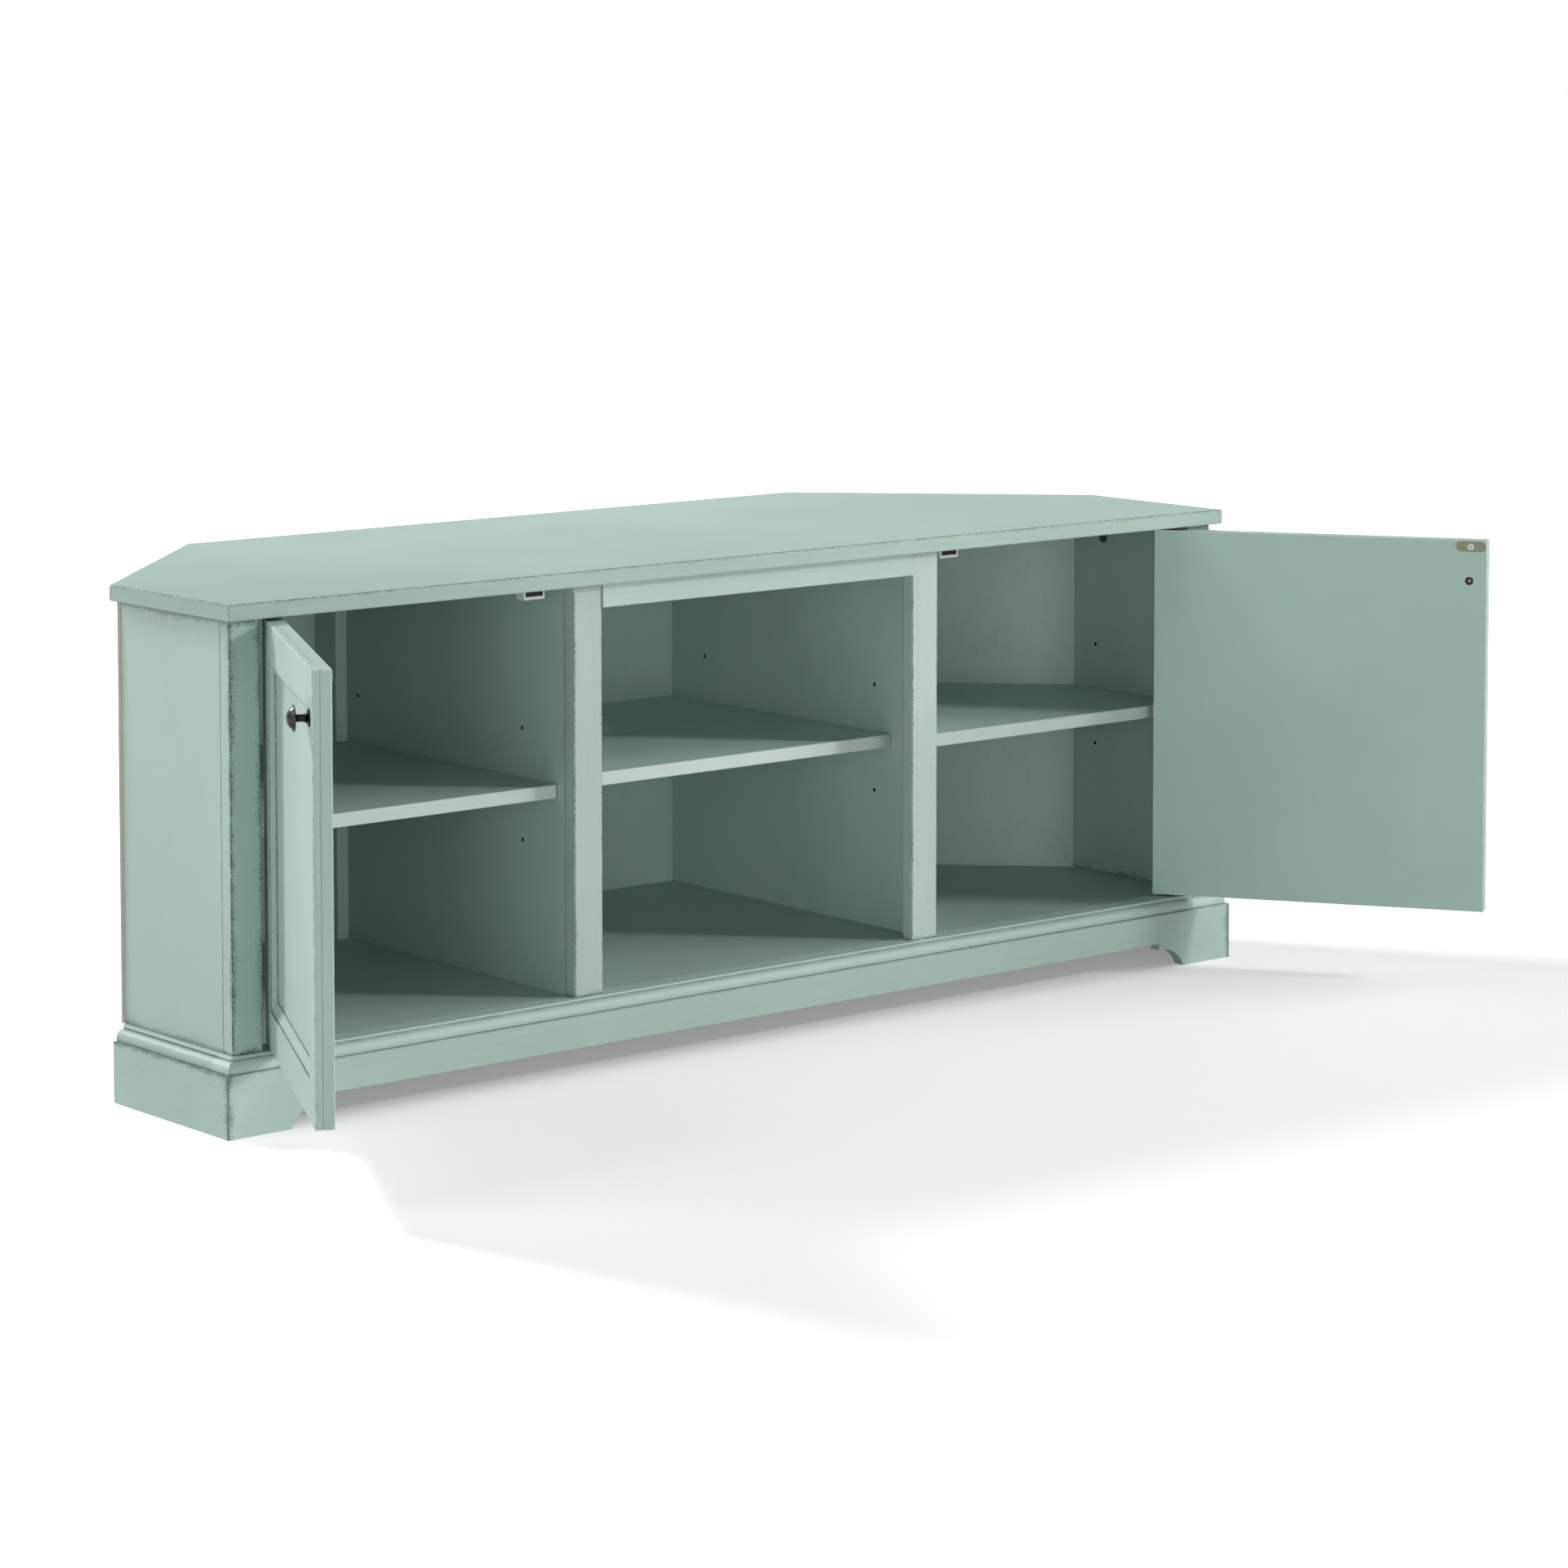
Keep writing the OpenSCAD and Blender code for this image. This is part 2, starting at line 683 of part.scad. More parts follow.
module middle_back_panel() {
    outer_x = diagonal + back_t * root2 - back_y - back_t;
    color(board_back) difference() {
        translate([0, 0, plinth_h]) linear_extrude(roof_z - plinth_h) polygon([
            [-back_corner_x, back_y], [back_corner_x, back_y],
            [outer_x, back_y + back_t], [-outer_x, back_y + back_t]
        ]);
        for (z = [cable_low, cable_high])
            along_y(back_y - cut, back_y + back_t + cut, cable_hole_x, floor_z + z, cable_hole_d);
    }
}

// Back panel across the right corner
module diagonal_back_panel() {
    step = back_t / root2;
    outer_x = diagonal + back_t * root2 - back_y - back_t;
    color(board_back) translate([0, 0, floor_z]) linear_extrude(body_h) polygon([
        [body_x, side_end_y], [body_x + step, side_end_y + step],
        [outer_x, back_y + back_t], [back_corner_x, back_y]
    ]);
}

module left_back_panel() { mirror([1, 0, 0]) diagonal_back_panel(); }
module right_back_panel() { diagonal_back_panel(); }

module cleat() {
    color(paint_shade) translate([mullion_out_x, cleat_y, floor_z]) cube([cleat_w, cleat_d, body_h]);
}

module left_cleat() { mirror([1, 0, 0]) cleat(); }
module right_cleat() { cleat(); }

// Outline that is cut from under the front apron, between the bracket feet
module apron_cutout() {
    flat_x = foot_arc_x - foot_flat;
    translate([-flat_x, -cut]) square([2 * flat_x, apron_gap + cut]);
    translate([-foot_arc_x, -cut]) square([2 * foot_arc_x, foot_top_z + cut]);
    for (side = [-1, 1]) translate([side * foot_arc_x, foot_arc_z]) circle(foot_r, $fn = 96);
}

module front_plinth() {
    color(paint) difference() {
        linear_extrude(plinth_h) polygon([
            [-plinth_x, plinth_y], [plinth_x, plinth_y],
            [plinth_in_x, plinth_in_y], [-plinth_in_x, plinth_in_y]
        ]);
        translate([0, plinth_in_y + cut, 0]) rotate([90, 0, 0]) linear_extrude(plinth_t + 2 * cut)
            apron_cutout();
        arris_cutter(-plinth_x - cut, plinth_x + cut, plinth_y, plinth_h);
    }
}

module side_plinth() {
    color(paint) linear_extrude(plinth_h) polygon([
        [plinth_in_x, plinth_in_y], [plinth_x, plinth_y],
        [plinth_x, plinth_end_y], [plinth_in_x, plinth_end_y]
    ]);
}

module left_plinth() { mirror([1, 0, 0]) side_plinth(); }
module right_plinth() { side_plinth(); }

module back_plinth() {
    color(paint_shade) linear_extrude(plinth_h) polygon([
        [-back_corner_x, back_y], [back_corner_x, back_y],
        [plinth_back_in_x, plinth_back_in_y], [-plinth_back_in_x, plinth_back_in_y]
    ]);
}

module diagonal_plinth() {
    color(paint_shade) linear_extrude(plinth_h) polygon([
        [plinth_in_x, diagonal - plinth_in_x], [back_corner_x, back_y],
        [plinth_back_in_x, plinth_back_in_y], [plinth_in_x, plinth_diagonal_in - plinth_in_x]
    ]);
}

module left_diagonal_plinth() { mirror([1, 0, 0]) diagonal_plinth(); }
module right_diagonal_plinth() { diagonal_plinth(); }

module base_stretchers() {
    color(raw_board) both_sides() translate([divider_in_x, plinth_in_y, plinth_h - stretcher_h])
        cube([panel_t, plinth_back_in_y - plinth_in_y, stretcher_h]);
}

// Glue blocks in the plinth's front corners and where its sides meet the diagonals
module corner_blocks() {
    bend_y = plinth_diagonal_in - plinth_in_x;
    color(raw_board) both_sides() translate([0, 0, plinth_h - block_h]) linear_extrude(block_h) {
        polygon([
            [plinth_in_x, plinth_in_y], [plinth_in_x, plinth_in_y + block_leg],
            [plinth_in_x - block_leg, plinth_in_y]
        ]);
        polygon([
            [plinth_in_x, bend_y], [plinth_in_x - block_leg / root2, bend_y + block_leg / root2],
            [plinth_in_x, bend_y - block_leg]
        ]);
    }
}

module catch_housings() {
    color(white_plastic) both_sides() difference() {
        translate([catch_x, 0, 0]) crossways(-catch_w / 2, catch_w / 2, catch_y, catch_y + catch_d,
            roof_z - catch_h, roof_z);
        translate([catch_x - magnet_w / 2, catch_y - cut, magnet_z])
            cube([magnet_w, magnet_d + cut, magnet_h]);
        pillar(catch_x, catch_screw_y, roof_z - catch_h - cut, roof_z + cut, small_screw_d);
    }
}

module catch_magnets() {
    color(dark_metal) both_sides() translate([catch_x - magnet_w / 2, catch_y, magnet_z])
        cube([magnet_w, magnet_d, magnet_h]);
}

module catch_screws() {
    head_z = roof_z - catch_h;
    color(steel) both_sides() {
        pillar(catch_x, catch_screw_y, head_z, roof_z + catch_screw_grip, small_screw_d);
        pillar(catch_x, catch_screw_y, head_z - 1.5, head_z, small_screw_d + 2);
    }
}

// Cam lock in a panel whose inner face is at x = 0 and looks towards -X
module cam_lock(y) {
    slot = 1.4;
    bolt_x = panel_t / 2;
    difference() {
        along_x(0, cam_depth, y, cam_z, cam_d);
        pillar(bolt_x, y, cam_z, cam_z + cam_d, cam_bolt_d + 2 * cam_clear);
        for (turn = [45, -45]) translate([0, y, cam_z]) rotate([turn, 0, 0])
            cube([2 * slot, cam_d / 2, slot], center = true);
    }
}

module cam_locks() {
    color(dark_metal) {
        both_sides() translate([side_in_x, 0, 0]) for (y = side_cams) cam_lock(y);
        for (x = [-divider_in_x, mullion_out_x]) translate([x, 0, 0]) mirror([1, 0, 0])
            for (y = divider_cams) cam_lock(y);
    }
}

module cam_bolt(x, y) {
    pillar(x, y, cam_z, roof_z + cam_bolt_grip, cam_bolt_d);
}

module cam_bolts() {
    color(steel) both_sides() {
        for (y = side_cams) cam_bolt(side_mid_x, y);
        for (y = divider_cams) cam_bolt(divider_mid_x, y);
    }
}

module dowels() {
    color(raw_board) {
        panel_dowels();
        post_dowels();
        rail_dowels();
    }
}

// Sockets let into the top and the bottom panel, which the pivot pins turn in
module pivot_sockets() {
    bore = pivot_tail + pivot_end_gap;
    color(steel) both_sides() {
        difference() {
            socket_form(roof_z, true, 0);
            pillar(pivot_x, pivot_y, roof_z - cut, roof_z + bore, pivot_hole_d);
        }
        difference() {
            socket_form(floor_z, false, 0);
            pillar(pivot_x, pivot_y, floor_z - bore, floor_z + cut, pivot_hole_d);
        }
    }
}

// Closed left door's slab, bored for the bushes and the screws
module door_slab() {
    color(paint_shade) difference() {
        upright(door_hinge_x, door_free_x, door_face_y, door_back_y, door_z0, door_z1);
        bush_holes();
        along_y(door_face_y - cut, door_back_y + cut, knob_x, knob_z, knob_screw_d);
        along_y(door_back_y - knob_bore_depth, door_back_y + cut, knob_x, knob_z, knob_bore_d);
        along_y(strike_screw_y, door_back_y + cut, strike_x, strike_z, small_screw_d);
    }
}

module door_stiles() {
    color(paint) difference() {
        for (x = [door_hinge_x, door_free_x - door_stile_w])
            upright(x, x + door_stile_w, front_y, door_face_y, door_z0, door_z1);
        bush_holes();
        along_y(front_y - cut, door_face_y + cut, knob_x, knob_z, knob_screw_d);
    }
}

module door_rails() {
    color(paint) for (z = [door_z0, door_panel_z1])
        crossways(door_panel_x0, door_panel_x1, front_y, door_face_y, z, z + door_rail_w);
}

// Section of the moulding: x runs inwards from the frame, y forwards from the slab
module mould_section() {
    bead_x = mould_bead_r + 1;
    slope_x = bead_x + mould_bead_r;
    polygon([
        [0, 0], [mould_w, 0], [mould_w, mould_lip], [(mould_w + slope_x) / 2, door_frame_t * 0.36],
        [slope_x, door_frame_t - 2 * mould_bead_r], [0, door_frame_t - 2 * mould_bead_r]
    ]);
    translate([bead_x, door_frame_t - 2 * mould_bead_r]) circle(mould_bead_r);
}

// One length of the moulding that starts at the origin, runs along +X and is mitred at both ends
module mould_length(length) {
    color(paint) difference() {
        rotate([90, 0, 90]) linear_extrude(length) mould_section();
        translate([0, 0, -cut]) linear_extrude(2 * door_frame_t) {
            polygon([[0, 0], [mould_w + cut, mould_w + cut], [-cut, mould_w + cut], [-cut, 0]]);
            polygon([
                [length, 0], [length - mould_w - cut, mould_w + cut],
                [length + cut, mould_w + cut], [length + cut, 0]
            ]);
        }
    }
}

// Upright lengths of the moulding, along the stiles
module door_side_mouldings() {
    run = door_panel_z1 - door_panel_z0;
    translate([0, door_face_y, 0]) rotate([90, 0, 0]) {
        translate([door_panel_x1, door_panel_z0, 0]) rotate(90) mould_length(run);
        translate([door_panel_x0, door_panel_z1, 0]) rotate(270) mould_length(run);
    }
}

// Level lengths of the moulding, along the rails
module door_end_mouldings() {
    run = door_panel_x1 - door_panel_x0;
    translate([0, door_face_y, 0]) rotate([90, 0, 0]) {
        translate([door_panel_x0, door_panel_z0, 0]) mould_length(run);
        translate([door_panel_x1, door_panel_z1, 0]) rotate(180) mould_length(run);
    }
}

// Pins that the door turns on, one in each end
module pivot_pins() {
    color(steel) {
        pillar(pivot_x, pivot_y, door_z1 - bush_l, roof_z + pivot_tail, pivot_d);
        pillar(pivot_x, pivot_y, floor_z - pivot_tail, door_z0 + bush_l, pivot_d);
    }
}

// Bushes that hold the pins; their collars keep the door clear of the top and the bottom panel
module pivot_bushes() {
    color(dark_metal) difference() {
        union() {
            pillar(pivot_x, pivot_y, door_z1 - bush_l, door_z1, bush_d);
            pillar(pivot_x, pivot_y, door_z1, roof_z - collar_gap, collar_d);
            pillar(pivot_x, pivot_y, door_z0, door_z0 + bush_l, bush_d);
            pillar(pivot_x, pivot_y, floor_z + collar_gap, door_z0, collar_d);
        }
        pillar(pivot_x, pivot_y, floor_z, roof_z, pivot_hole_d);
    }
}

// Knob: a flared foot, a neck, and a domed head on its rim, hollow for its screw
module knob() {
    foot_t = 1.5;
    flare = (knob_foot_d - knob_neck_d) / 2;
    dome_t = knob_head_t - knob_rim_t;
    head_z = knob_h - knob_head_t;
    flare_r = knob_foot_d / 2;
    dome_base_r = knob_d / 2 - knob_rim_w;
    dome_r = (dome_base_r * dome_base_r + dome_t * dome_t) / (2 * dome_t);
    color(bronze) translate([knob_x, front_y, knob_z]) rotate([90, 0, 0]) difference() {
        union() {
            cylinder(h = foot_t, d = knob_foot_d);
            translate([0, 0, foot_t]) rotate_extrude() difference() {
                square([flare_r, flare]);
                translate([flare_r, flare]) circle(flare);
            }
            cylinder(h = head_z + knob_rim_t / 2, d = knob_neck_d);
            translate([0, 0, head_z]) cylinder(h = knob_rim_t, d = knob_d);
            translate([0, 0, head_z + knob_rim_t]) rotate_extrude() intersection() {
                translate([0, dome_t - dome_r]) circle(dome_r, $fn = 96);
                square([dome_base_r, dome_t]);
            }
        }
        translate([0, 0, -cut]) cylinder(h = head_z + cut, d = knob_screw_d);
    }
}

// Screw through the door into the knob
module knob_screw() {
    head_y = door_back_y - knob_bore_depth;
    color("goldenrod") difference() {
        union() {
            along_y(front_y - knob_h + knob_head_t, head_y + cut, knob_x, knob_z, knob_screw_d);
            along_y(head_y, head_y + 2.5, knob_x, knob_z, knob_bore_d - 2);
        }
        screw_cross(knob_x, head_y + 2.5, knob_z, 4);
    }
}

// Cross-shaped recess of the given size in a screw head whose face is at y
module screw_cross(x, y, z, size) {
    for (turn = [0, 90]) translate([x, y, z]) rotate([0, turn, 0]) cube([size, 2, size / 5], center = true);
}

module strike_plate() {
    reach = (strike_l - strike_w) / 2;
    color(bronze) translate([strike_x, door_back_y, strike_z]) difference() {
        union() {
            for (x = [-reach, reach]) along_y(0, strike_t, x, 0, strike_w);
            translate([-reach, 0, -strike_w / 2]) cube([2 * reach, strike_t, strike_w]);
        }
        along_y(-cut, strike_t + cut, 0, 0, small_screw_d);
        for (x = [-reach, reach]) along_y(strike_t / 2, strike_t + cut, x, 0, strike_t);
    }
}

module strike_screw() {
    head_t = 0.7;
    face_y = door_back_y + strike_t;
    color(white_plastic) difference() {
        union() {
            along_y(strike_screw_y, face_y + head_t / 2, strike_x, strike_z, small_screw_d);
            along_y(face_y, face_y + head_t, strike_x, strike_z, strike_head_d);
        }
        screw_cross(strike_x, face_y + head_t, strike_z, 3.6);
    }
}

place() top_panel();
place() bottom_panel();
place() left_side_panel();
place() right_side_panel();
place() left_divider();
place() right_divider();
place() left_stile();
place() right_stile();
place() left_mullion();
place() right_mullion();
place() middle_rail();
place() left_shelf();
place() middle_shelf();
place() right_shelf();
place() shelf_supports();
place() middle_back_panel();
place() left_back_panel();
place() right_back_panel();
place() left_cleat();
place() right_cleat();
place() front_plinth();
place() left_plinth();
place() right_plinth();
place() back_plinth();
place() left_diagonal_plinth();
place() right_diagonal_plinth();
place() base_stretchers();
place() corner_blocks();
place() catch_housings();
place() catch_magnets();
place() catch_screws();
place() cam_locks();
place() cam_bolts();
place() dowels();
place() pivot_sockets();
place() left_swing() door_slab();  // left_door_slab
place() left_swing() door_stiles();  // left_door_stiles
place() left_swing() door_rails();  // left_door_rails
place() left_swing() door_side_mouldings();  // left_door_side_mouldings
place() left_swing() door_end_mouldings();  // left_door_end_mouldings
place() left_swing() pivot_pins();  // left_pivot_pins
place() left_swing() pivot_bushes();  // left_pivot_bushes
place() left_swing() knob();  // left_knob
place() left_swing() knob_screw();  // left_knob_screw
place() left_swing() strike_plate();  // left_strike_plate
place() left_swing() strike_screw();  // left_strike_screw
place() right_swing() door_slab();  // right_door_slab
place() right_swing() door_stiles();  // right_door_stiles
place() right_swing() door_rails();  // right_door_rails
place() right_swing() door_side_mouldings();  // right_door_side_mouldings
place() right_swing() door_end_mouldings();  // right_door_end_mouldings
place() right_swing() pivot_pins();  // right_pivot_pins
place() right_swing() pivot_bushes();  // right_pivot_bushes
place() right_swing() knob();  // right_knob
place() right_swing() knob_screw();  // right_knob_screw
place() right_swing() strike_plate();  // right_strike_plate
place() right_swing() strike_screw();  // right_strike_screw
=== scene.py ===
import json
import math

import bmesh
import bpy
from mathutils import Matrix, Vector


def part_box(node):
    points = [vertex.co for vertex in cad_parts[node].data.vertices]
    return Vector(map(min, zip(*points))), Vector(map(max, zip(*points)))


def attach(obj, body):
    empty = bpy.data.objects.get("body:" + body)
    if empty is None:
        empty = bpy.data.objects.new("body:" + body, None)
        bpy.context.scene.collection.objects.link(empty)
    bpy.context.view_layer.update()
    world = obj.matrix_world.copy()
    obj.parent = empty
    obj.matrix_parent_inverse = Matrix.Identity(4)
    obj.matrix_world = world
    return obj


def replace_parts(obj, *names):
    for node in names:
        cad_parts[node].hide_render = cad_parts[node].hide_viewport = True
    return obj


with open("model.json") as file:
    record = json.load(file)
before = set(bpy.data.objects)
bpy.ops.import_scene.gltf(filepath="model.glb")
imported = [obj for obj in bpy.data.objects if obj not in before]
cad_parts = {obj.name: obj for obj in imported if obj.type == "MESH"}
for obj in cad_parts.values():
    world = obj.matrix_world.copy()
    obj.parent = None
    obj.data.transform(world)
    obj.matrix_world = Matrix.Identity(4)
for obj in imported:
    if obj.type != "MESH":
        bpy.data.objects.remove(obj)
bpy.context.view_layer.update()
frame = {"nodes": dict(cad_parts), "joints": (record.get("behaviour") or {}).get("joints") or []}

MM = 0.001
X = Vector((1, 0, 0))
Y = Vector((0, 1, 0))
Z = Vector((0, 0, 1))

# Lamps: name, degrees to the right of the front, degrees above the floor, distance, size, strength.
# A strength is the irradiance over pi that the lamp gives a surface facing it, at the object.
LAMPS = [
    ("key", -154.5, 39.1, 5.0, 0.8, 0.85),
    ("broad_left", -95, 35, 4.5, 2.4, 0.25),
    ("narrow_front_right", 42, 25, 10.0, 0.8, 0.285),
    ("broad_front_right", 60, 30, 9.0, 4.8, 0.43),
    ("low_front", -6, 5, 4.5, 1.3, 0.145),
    ("low_front_left", -40, 8, 4.5, 1.6, 0.09),
    ("low_left", -70, 10, 4.5, 2.0, 0.06),
]
SKY = 0.02

# Heights and places that the finish follows, as in the construction
PLINTH_TOP = 68 * MM
QUIRK_Z = 80.6 * MM
FLOOR_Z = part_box("bottom_panel")[1].z
ROOF_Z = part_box("top_panel")[0].z
TOP_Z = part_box("top_panel")[1].z
FRONT_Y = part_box("left_stile")[0].y
BACK_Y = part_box("middle_back_panel")[1].y
FRAME_T = 18 * MM
DOOR_STILE_W = 42 * MM
DOOR_RAIL_W = 41 * MM
MOULD_W = 11.5 * MM

# The depth of a coat seen on an edge, and how soft the border between two coats is
COAT = 0.6 * MM
COAT_BORDER = 0.2 * MM

# Colours as linear values: the paint, the glaze rubbed into it, and what shows on marked arrises: dark where
# worn, pale as a painted highlight with some wear
# Every paint below except the body's is the same green made lighter, darker or greener for its part, as
# painted light and shade. The inside paints are darker as painted shade, and the shelf lips lighter as
# painted light.
TOP_PAINT_AND_LIGHT = (0.393, 0.520, 0.476)
EDGE_PAINT_AND_LIGHT = (0.415, 0.545, 0.480)
BODY_PAINT = (0.450, 0.580, 0.520)
STILE_PAINT_AND_LIGHT = (0.402, 0.577, 0.500)
MULLION_PAINT_AND_LIGHT = (0.475, 0.580, 0.534)
SIDE_PAINT_AND_LIGHT = (0.420, 0.550, 0.480)
PLINTH_PAINT_AND_LIGHT = (0.408, 0.541, 0.470)
RAIL_PAINT_AND_LIGHT = (0.485, 0.615, 0.553)
DOOR_PAINT_AND_LIGHT = (0.360, 0.488, 0.433)
DOOR_INSIDE_PAINT_AND_LIGHT = (0.428, 0.600, 0.520)
INSIDE_PAINT_AND_SHADE = (0.415, 0.535, 0.480)
MIDDLE_BACK_PAINT_AND_SHADE = (0.392, 0.530, 0.466)
LIP_PAINT_AND_LIGHT = (0.500, 0.590, 0.545)
MIDDLE_LIP_PAINT_AND_LIGHT = (0.600, 0.690, 0.645)
# Glaze on the edges; in the creases the same dark colour is also painted shade.
GLAZE_AND_SHADE = (0.050, 0.080, 0.060)
WORN_DARK = (0.030, 0.042, 0.030)
PALE_WEAR_AND_HIGHLIGHT = (0.620, 0.700, 0.640)
RAW_BOARD = (0.470, 0.440, 0.350)
PINE = (0.560, 0.400, 0.240)
BEECH = (0.56, 0.36, 0.20)
# Painted shade for bores and the walls of holes.
HOLE_SHADE = (0.020, 0.020, 0.016)

# How much lighter or darker than the paint above some boards are painted, as painted light and shade
DIVIDER_PAINTED_LIGHT = {"left": 0.91, "right": 1.17}
MULLION_PAINTED_LIGHT = {"left": 0.94, "right": 1.06}
SHELF_PAINTED_LIGHT = {"left": 0.90, "middle": 1.2, "right": 1.10}
BACK_PAINTED_SHADE = {"left": 0.62, "right": 1.0}
BOTTOM_PAINTED_SHADE = 0.92
SIDE_INSIDE_PAINTED_SHADE = 0.93

CABINET = (X, Y, Z)
DIAGONALS = [Vector((-1, 1, 0)).normalized(), Vector((1, 1, 0)).normalized()]


def door_axes(joint):
    """Width (towards the free edge), depth (towards the inner face) and height of an open door."""
    closed = joint["range_deg"][0] * joint["axis"][2]
    turn = Matrix.Rotation(math.radians(-closed), 3, "Z")
    side = 1 if joint["pos_m"][0] < 0 else -1
    return turn @ (X * side), turn @ Y, Z


DOORS = {joint["child"]: door_axes(joint) for joint in frame["joints"]}


def span(node, direction):
    """Lowest and highest reach of a node along a direction."""
    reach = [v.co.dot(direction) for v in frame["nodes"][node].data.vertices]
    return min(reach), max(reach)


def middle(node, direction):
    return sum(span(node, direction)) / 2


def tinted(colour, factor):
    return tuple(factor * level for level in colour)


CABINET_BOX = [axis * sign for axis in CABINET for sign in (-1, 1)]
FRAME_FRONT = [direction for direction in CABINET_BOX if direction != Y]
UPRIGHT_ARRISES = [-X, X, -Y]


class Graph:
    """The nodes of one material; each method adds some and returns the output socket."""

    def __init__(self, name):
        self.material = bpy.data.materials.new(name)
        self.material.use_nodes = True
        self.tree = self.material.node_tree
        self.shader = self.tree.nodes["Principled BSDF"]
        self.point = self.tree.nodes.new("ShaderNodeTexCoord").outputs["Object"]

    def feed(self, socket, value):
        if isinstance(value, bpy.types.NodeSocket):
            self.tree.links.new(value, socket)
        else:
            socket.default_value = value

    def math(self, operation, *values):
        node = self.tree.nodes.new("ShaderNodeMath")
        node.operation = operation
        for socket, value in zip(node.inputs, values):
            self.feed(socket, value)
        return node.outputs[0]

    def dot(self, direction):
        """How far along a direction the shaded point is."""
        node = self.tree.nodes.new("ShaderNodeVectorMath")
        node.operation = "DOT_PRODUCT"
        self.feed(node.inputs[0], self.point)
        self.feed(node.inputs[1], direction)
        return node.outputs["Value"]

    def radius(self, centre, axes):
        """Distance from a line; axes are the two directions across it."""
        squares = []
        for axis in axes:
            away = self.math("SUBTRACT", self.dot(axis), centre.dot(axis))
            squares.append(self.math("MULTIPLY", away, away))
        return self.math("SQRT", self.math("ADD", *squares))

    def along(self, axes, scales):
        """The shaded point in a body's own axes, each times its scale."""
        node = self.tree.nodes.new("ShaderNodeCombineXYZ")
        for socket, axis, scale in zip(node.inputs, axes, scales):
            self.feed(socket, self.dot(axis * scale))
        return node.outputs[0]

    def noise(self, vector, scale, detail=3.0, roughness=0.55):
        node = self.tree.nodes.new("ShaderNodeTexNoise")
        self.feed(node.inputs["Vector"], vector)
        node.inputs["Scale"].default_value = scale
        node.inputs["Detail"].default_value = detail
        node.inputs["Roughness"].default_value = roughness
        return node.outputs["Fac"]

    def ramp(self, value, low, high, start=0.0, end=1.0):
        """start at low, end at high, and a smooth step between them."""
        node = self.tree.nodes.new("ShaderNodeMapRange")
        node.interpolation_type = "SMOOTHSTEP"
        for socket, number in zip(node.inputs, (value, low, high, start, end)):
            self.feed(socket, number)
        return node.outputs[0]

    def mix(self, factor, a, b):
        node = self.tree.nodes.new("ShaderNodeMix")
        node.data_type = "RGBA"
        self.feed(node.inputs["Factor"], factor)
        for socket, value in ((node.inputs[6], a), (node.inputs[7], b)):
            self.feed(socket, (*value, 1.0) if isinstance(value, tuple) else value)
        return node.outputs[2]

    def shade(self, colour, factor):
        """The colour times a factor."""
        node = self.tree.nodes.new("ShaderNodeVectorMath")
        node.operation = "SCALE"
        self.feed(node.inputs[0], colour)
        self.feed(node.inputs["Scale"], factor)
        return node.outputs[0]

    def bump(self, height, distance, strength):
        node = self.tree.nodes.new("ShaderNodeBump")
        node.inputs["Distance"].default_value = distance
        node.inputs["Strength"].default_value = strength
        self.feed(node.inputs["Height"], height)
        return node.outputs["Normal"]

    def edge_distance(self, planes):
        """Distance from a point on a face to the nearest edge: the second smallest of those to the planes."""
        away = [self.math("SUBTRACT", offset, self.dot(direction)) for direction, offset in planes]
        nearest = self.math("MINIMUM", away[0], away[1])
        second = self.math("MAXIMUM", away[0], away[1])
        for distance in away[2:]:
            second = self.math("MINIMUM", second, self.math("MAXIMUM", nearest, distance))
            nearest = self.math("MINIMUM", nearest, distance)
        return second

    def depth(self, planes):
        """How far a point is inside all planes: nothing on the faces, and more on the wall of a hole."""
        nearest = 1.0
        for direction, offset in planes:
            nearest = self.math("MINIMUM", nearest, self.math("SUBTRACT", offset, self.dot(direction)))
        return nearest

    def line_distance(self, planes):
        """Distance to the nearest of some planes, from either side."""
        nearest = 1.0
        for direction, offset in planes:
            away = self.math("ABSOLUTE", self.math("SUBTRACT", self.dot(direction), offset))
            nearest = self.math("MINIMUM", nearest, away)
        return nearest

    def glazed(self, distance, reach, specks, patches, wash):
        """Glaze left along a line: a thin wash and specks that thin out over a reach that varies."""
        away = self.math("DIVIDE", distance, self.ramp(patches, 0.3, 0.7, 0.35 * reach, 1.3 * reach))
        soft = self.math("MULTIPLY", self.math("POWER", self.ramp(away, 0.0, 1.0, 1.0, 0.0), 3.0), wash)
        left = self.math("SUBTRACT", specks, self.math("MULTIPLY", away, 0.17))
        return self.math("MAXIMUM", soft, self.ramp(left, 0.46, 0.53, 0.0, 0.95))


